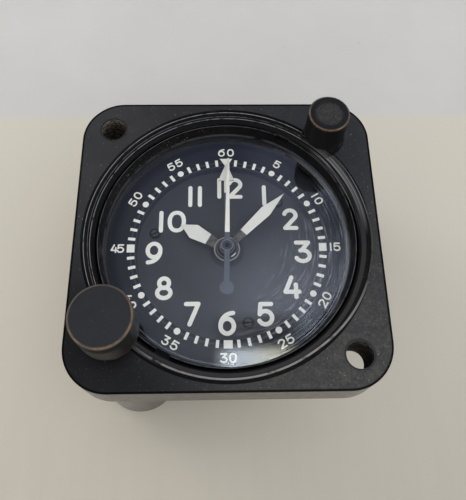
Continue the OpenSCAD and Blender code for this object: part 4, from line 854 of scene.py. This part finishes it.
def paint_nodes():
    """A procedural material on every CAD node, by its name or else by its material slot."""
    brass = metal("turned_brass", (0.42, 0.29, 0.11), (0.60, 0.45, 0.20), 0.25, 0.45)
    steel = metal("turned_steel", (0.34, 0.34, 0.35), (0.52, 0.52, 0.53), 0.25, 0.4)
    blued = metal("blued_steel", (0.05, 0.07, 0.16), (0.12, 0.15, 0.28), 0.2, 0.35)
    by_slot = {"brass": brass, "steel": steel, "spring_steel": blued,
               "gasket": rubber(), "can_black": can_paint()}
    special = {
        "front_frame": frame_paint(), "retaining_ring": ring_paint(), "winding_knob": knob_paint(),
        "button_cap": button_paint(), "glass": clear_glass(), "dial": dial_paint(),
        "chapter_ring": ring_dial_paint(), "dial_screws": screw_heads(),
        "sweep_arbor": metal("dark_arbor_steel", (0.012, 0.012, 0.013), (0.03, 0.03, 0.03), 0.4, 0.6),
        **hand_paints(),
    }
    slots = {row["node"]: row["material_slot"] for row in RECORD["subparts"]}
    for name, piece in NODES.items():
        piece.data.materials.clear()
        piece.data.materials.append(special[name] if name in special else by_slot[slots[name]])
    button_coil(steel)


# Stage, light and camera
FLOOR_HALF = 1.2
KEY_PLACE, KEY_SIZE = (-640, 420, 420), (420, 320)
KEY_WATTS, KEY_COLOUR = 1.6, (1.0, 0.97, 0.93)


def add_floor(z):
    half = FLOOR_HALF
    mesh = bpy.data.meshes.new("floor")
    corners = [(-half, -half, z), (half, -half, z), (half, half, z), (-half, half, z)]
    mesh.from_pydata(corners, [], [(0, 1, 2, 3)])
    floor = bpy.data.objects.new("floor", mesh)
    bpy.context.scene.collection.objects.link(floor)
    mesh.materials.append(floor_paper())


def add_key():
    """A weak, large lamp at the left, aimed at the clock; the rest of the light comes from the room."""
    lamp = bpy.data.lights.new("key", "AREA")
    lamp.shape = "RECTANGLE"
    lamp.size, lamp.size_y = KEY_SIZE[0] * MM, KEY_SIZE[1] * MM
    lamp.energy, lamp.color = KEY_WATTS, KEY_COLOUR
    holder = bpy.data.objects.new("key", lamp)
    bpy.context.scene.collection.objects.link(holder)
    holder.location = Vector(KEY_PLACE) * MM
    holder.rotation_mode = "QUATERNION"
    holder.rotation_quaternion = (-Vector(KEY_PLACE)).to_track_quat("-Z", "Y")
    holder.visible_glossy = False  # else it shows in the glass with a hard edge, seen from a low side


def overhead(room, x, y):
    """What the glass mirrors: a dim ceiling with a pale window, soft glows, a dark patch and a lamp."""
    window = room.both(room.step(x, -0.07, 0.07), room.step(y, 0.41, 0.27))
    over = room.mix(room.step(y, 0.36, 0.50), (0.23, 0.25, 0.33), (0.23, 0.26, 0.40))
    over = room.mix(window, over, (0.93, 1.07, 1.36))
    sky = room.both(room.step(x, 0.02, 0.09), room.step(y, 0.37, 0.43))
    over = room.mix(room.both(sky, 0.6), over, (0.54, 0.62, 0.88))
    glow_left = room.both(room.band(x, -0.095, 0.03, 0.04), room.step(y, 0.32, 0.26))
    over = room.mix(room.both(glow_left, 0.6), over, (0.50, 0.57, 0.72))
    halo = room.both(room.band(x, 0.08, 0.09, 0.15), room.band(y, 0.14, 0.04, 0.06))
    over = room.mix(halo, over, (0.80, 0.88, 1.02))
    shade = room.both(room.band(x, 0.055, 0.045, 0.040), room.step(y, 0.262, 0.238))
    over = room.mix(room.both(shade, 0.9), over, (0.05, 0.05, 0.05))
    low_left = room.both(room.step(y, 0.235, 0.20), room.step(x, 0.04, -0.02))
    over = room.mix(room.both(low_left, 0.75), over, (0.60, 0.66, 0.80))
    lamp = room.both(room.band(x, 0.060, 0.035, 0.040), room.band(y, 0.155, 0.035, 0.023))
    return room.mix(lamp, over, room.mix(room.step(x, 0.03, 0.09), (6.6, 7.4, 8.2), (7.6, 7.6, 6.4)))


def add_world():
    """A soft room: bright walls near the horizon, darker overhead."""
    world = bpy.data.worlds.new("soft_room")
    world.use_nodes = True
    bpy.context.scene.world = world
    room = Tree(world.node_tree)
    split = room.node("ShaderNodeSeparateXYZ")
    room.link(room.node("ShaderNodeTexCoord").outputs["Generated"], split.inputs[0])
    x, y, z = split.outputs
    walls = room.mix(room.step(x, -0.8, 0.8), (2.14, 2.06, 1.93), (2.22, 2.15, 2.04))
    glow = room.node("ShaderNodeBackground")
    room.link(room.mix(room.step(z, 0.42, 0.70), walls, overhead(room, x, y)), glow.inputs[0])
    room.link(glow.outputs[0], room.node("ShaderNodeOutputWorld").inputs[0])


def add_camera():
    data = bpy.data.cameras.new("camera")
    data.lens, data.sensor_width = CAM_LENS, CAM_SENSOR
    data.shift_x, data.shift_y = CAM_SHIFT
    data.clip_start, data.clip_end = 0.005, 10
    camera = bpy.data.objects.new("camera", data)
    bpy.context.scene.collection.objects.link(camera)
    axes = Matrix((CAM_RIGHT, CAM_UP, CAM_BACK)).transposed()
    camera.matrix_world = Matrix.Translation(CAM_PLACE) @ axes.to_4x4()
    bpy.context.scene.camera = camera


paint_nodes()
white = white_paint()
minute_marks(CHAPTER_TOP, white)
minute_numerals(CHAPTER_TOP, white)
hour_numerals(DIAL_TOP, white)
add_floor(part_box("case_body")[0].z)
add_world()
add_key()
add_camera()
bpy.context.scene.view_settings.view_transform = "Standard"
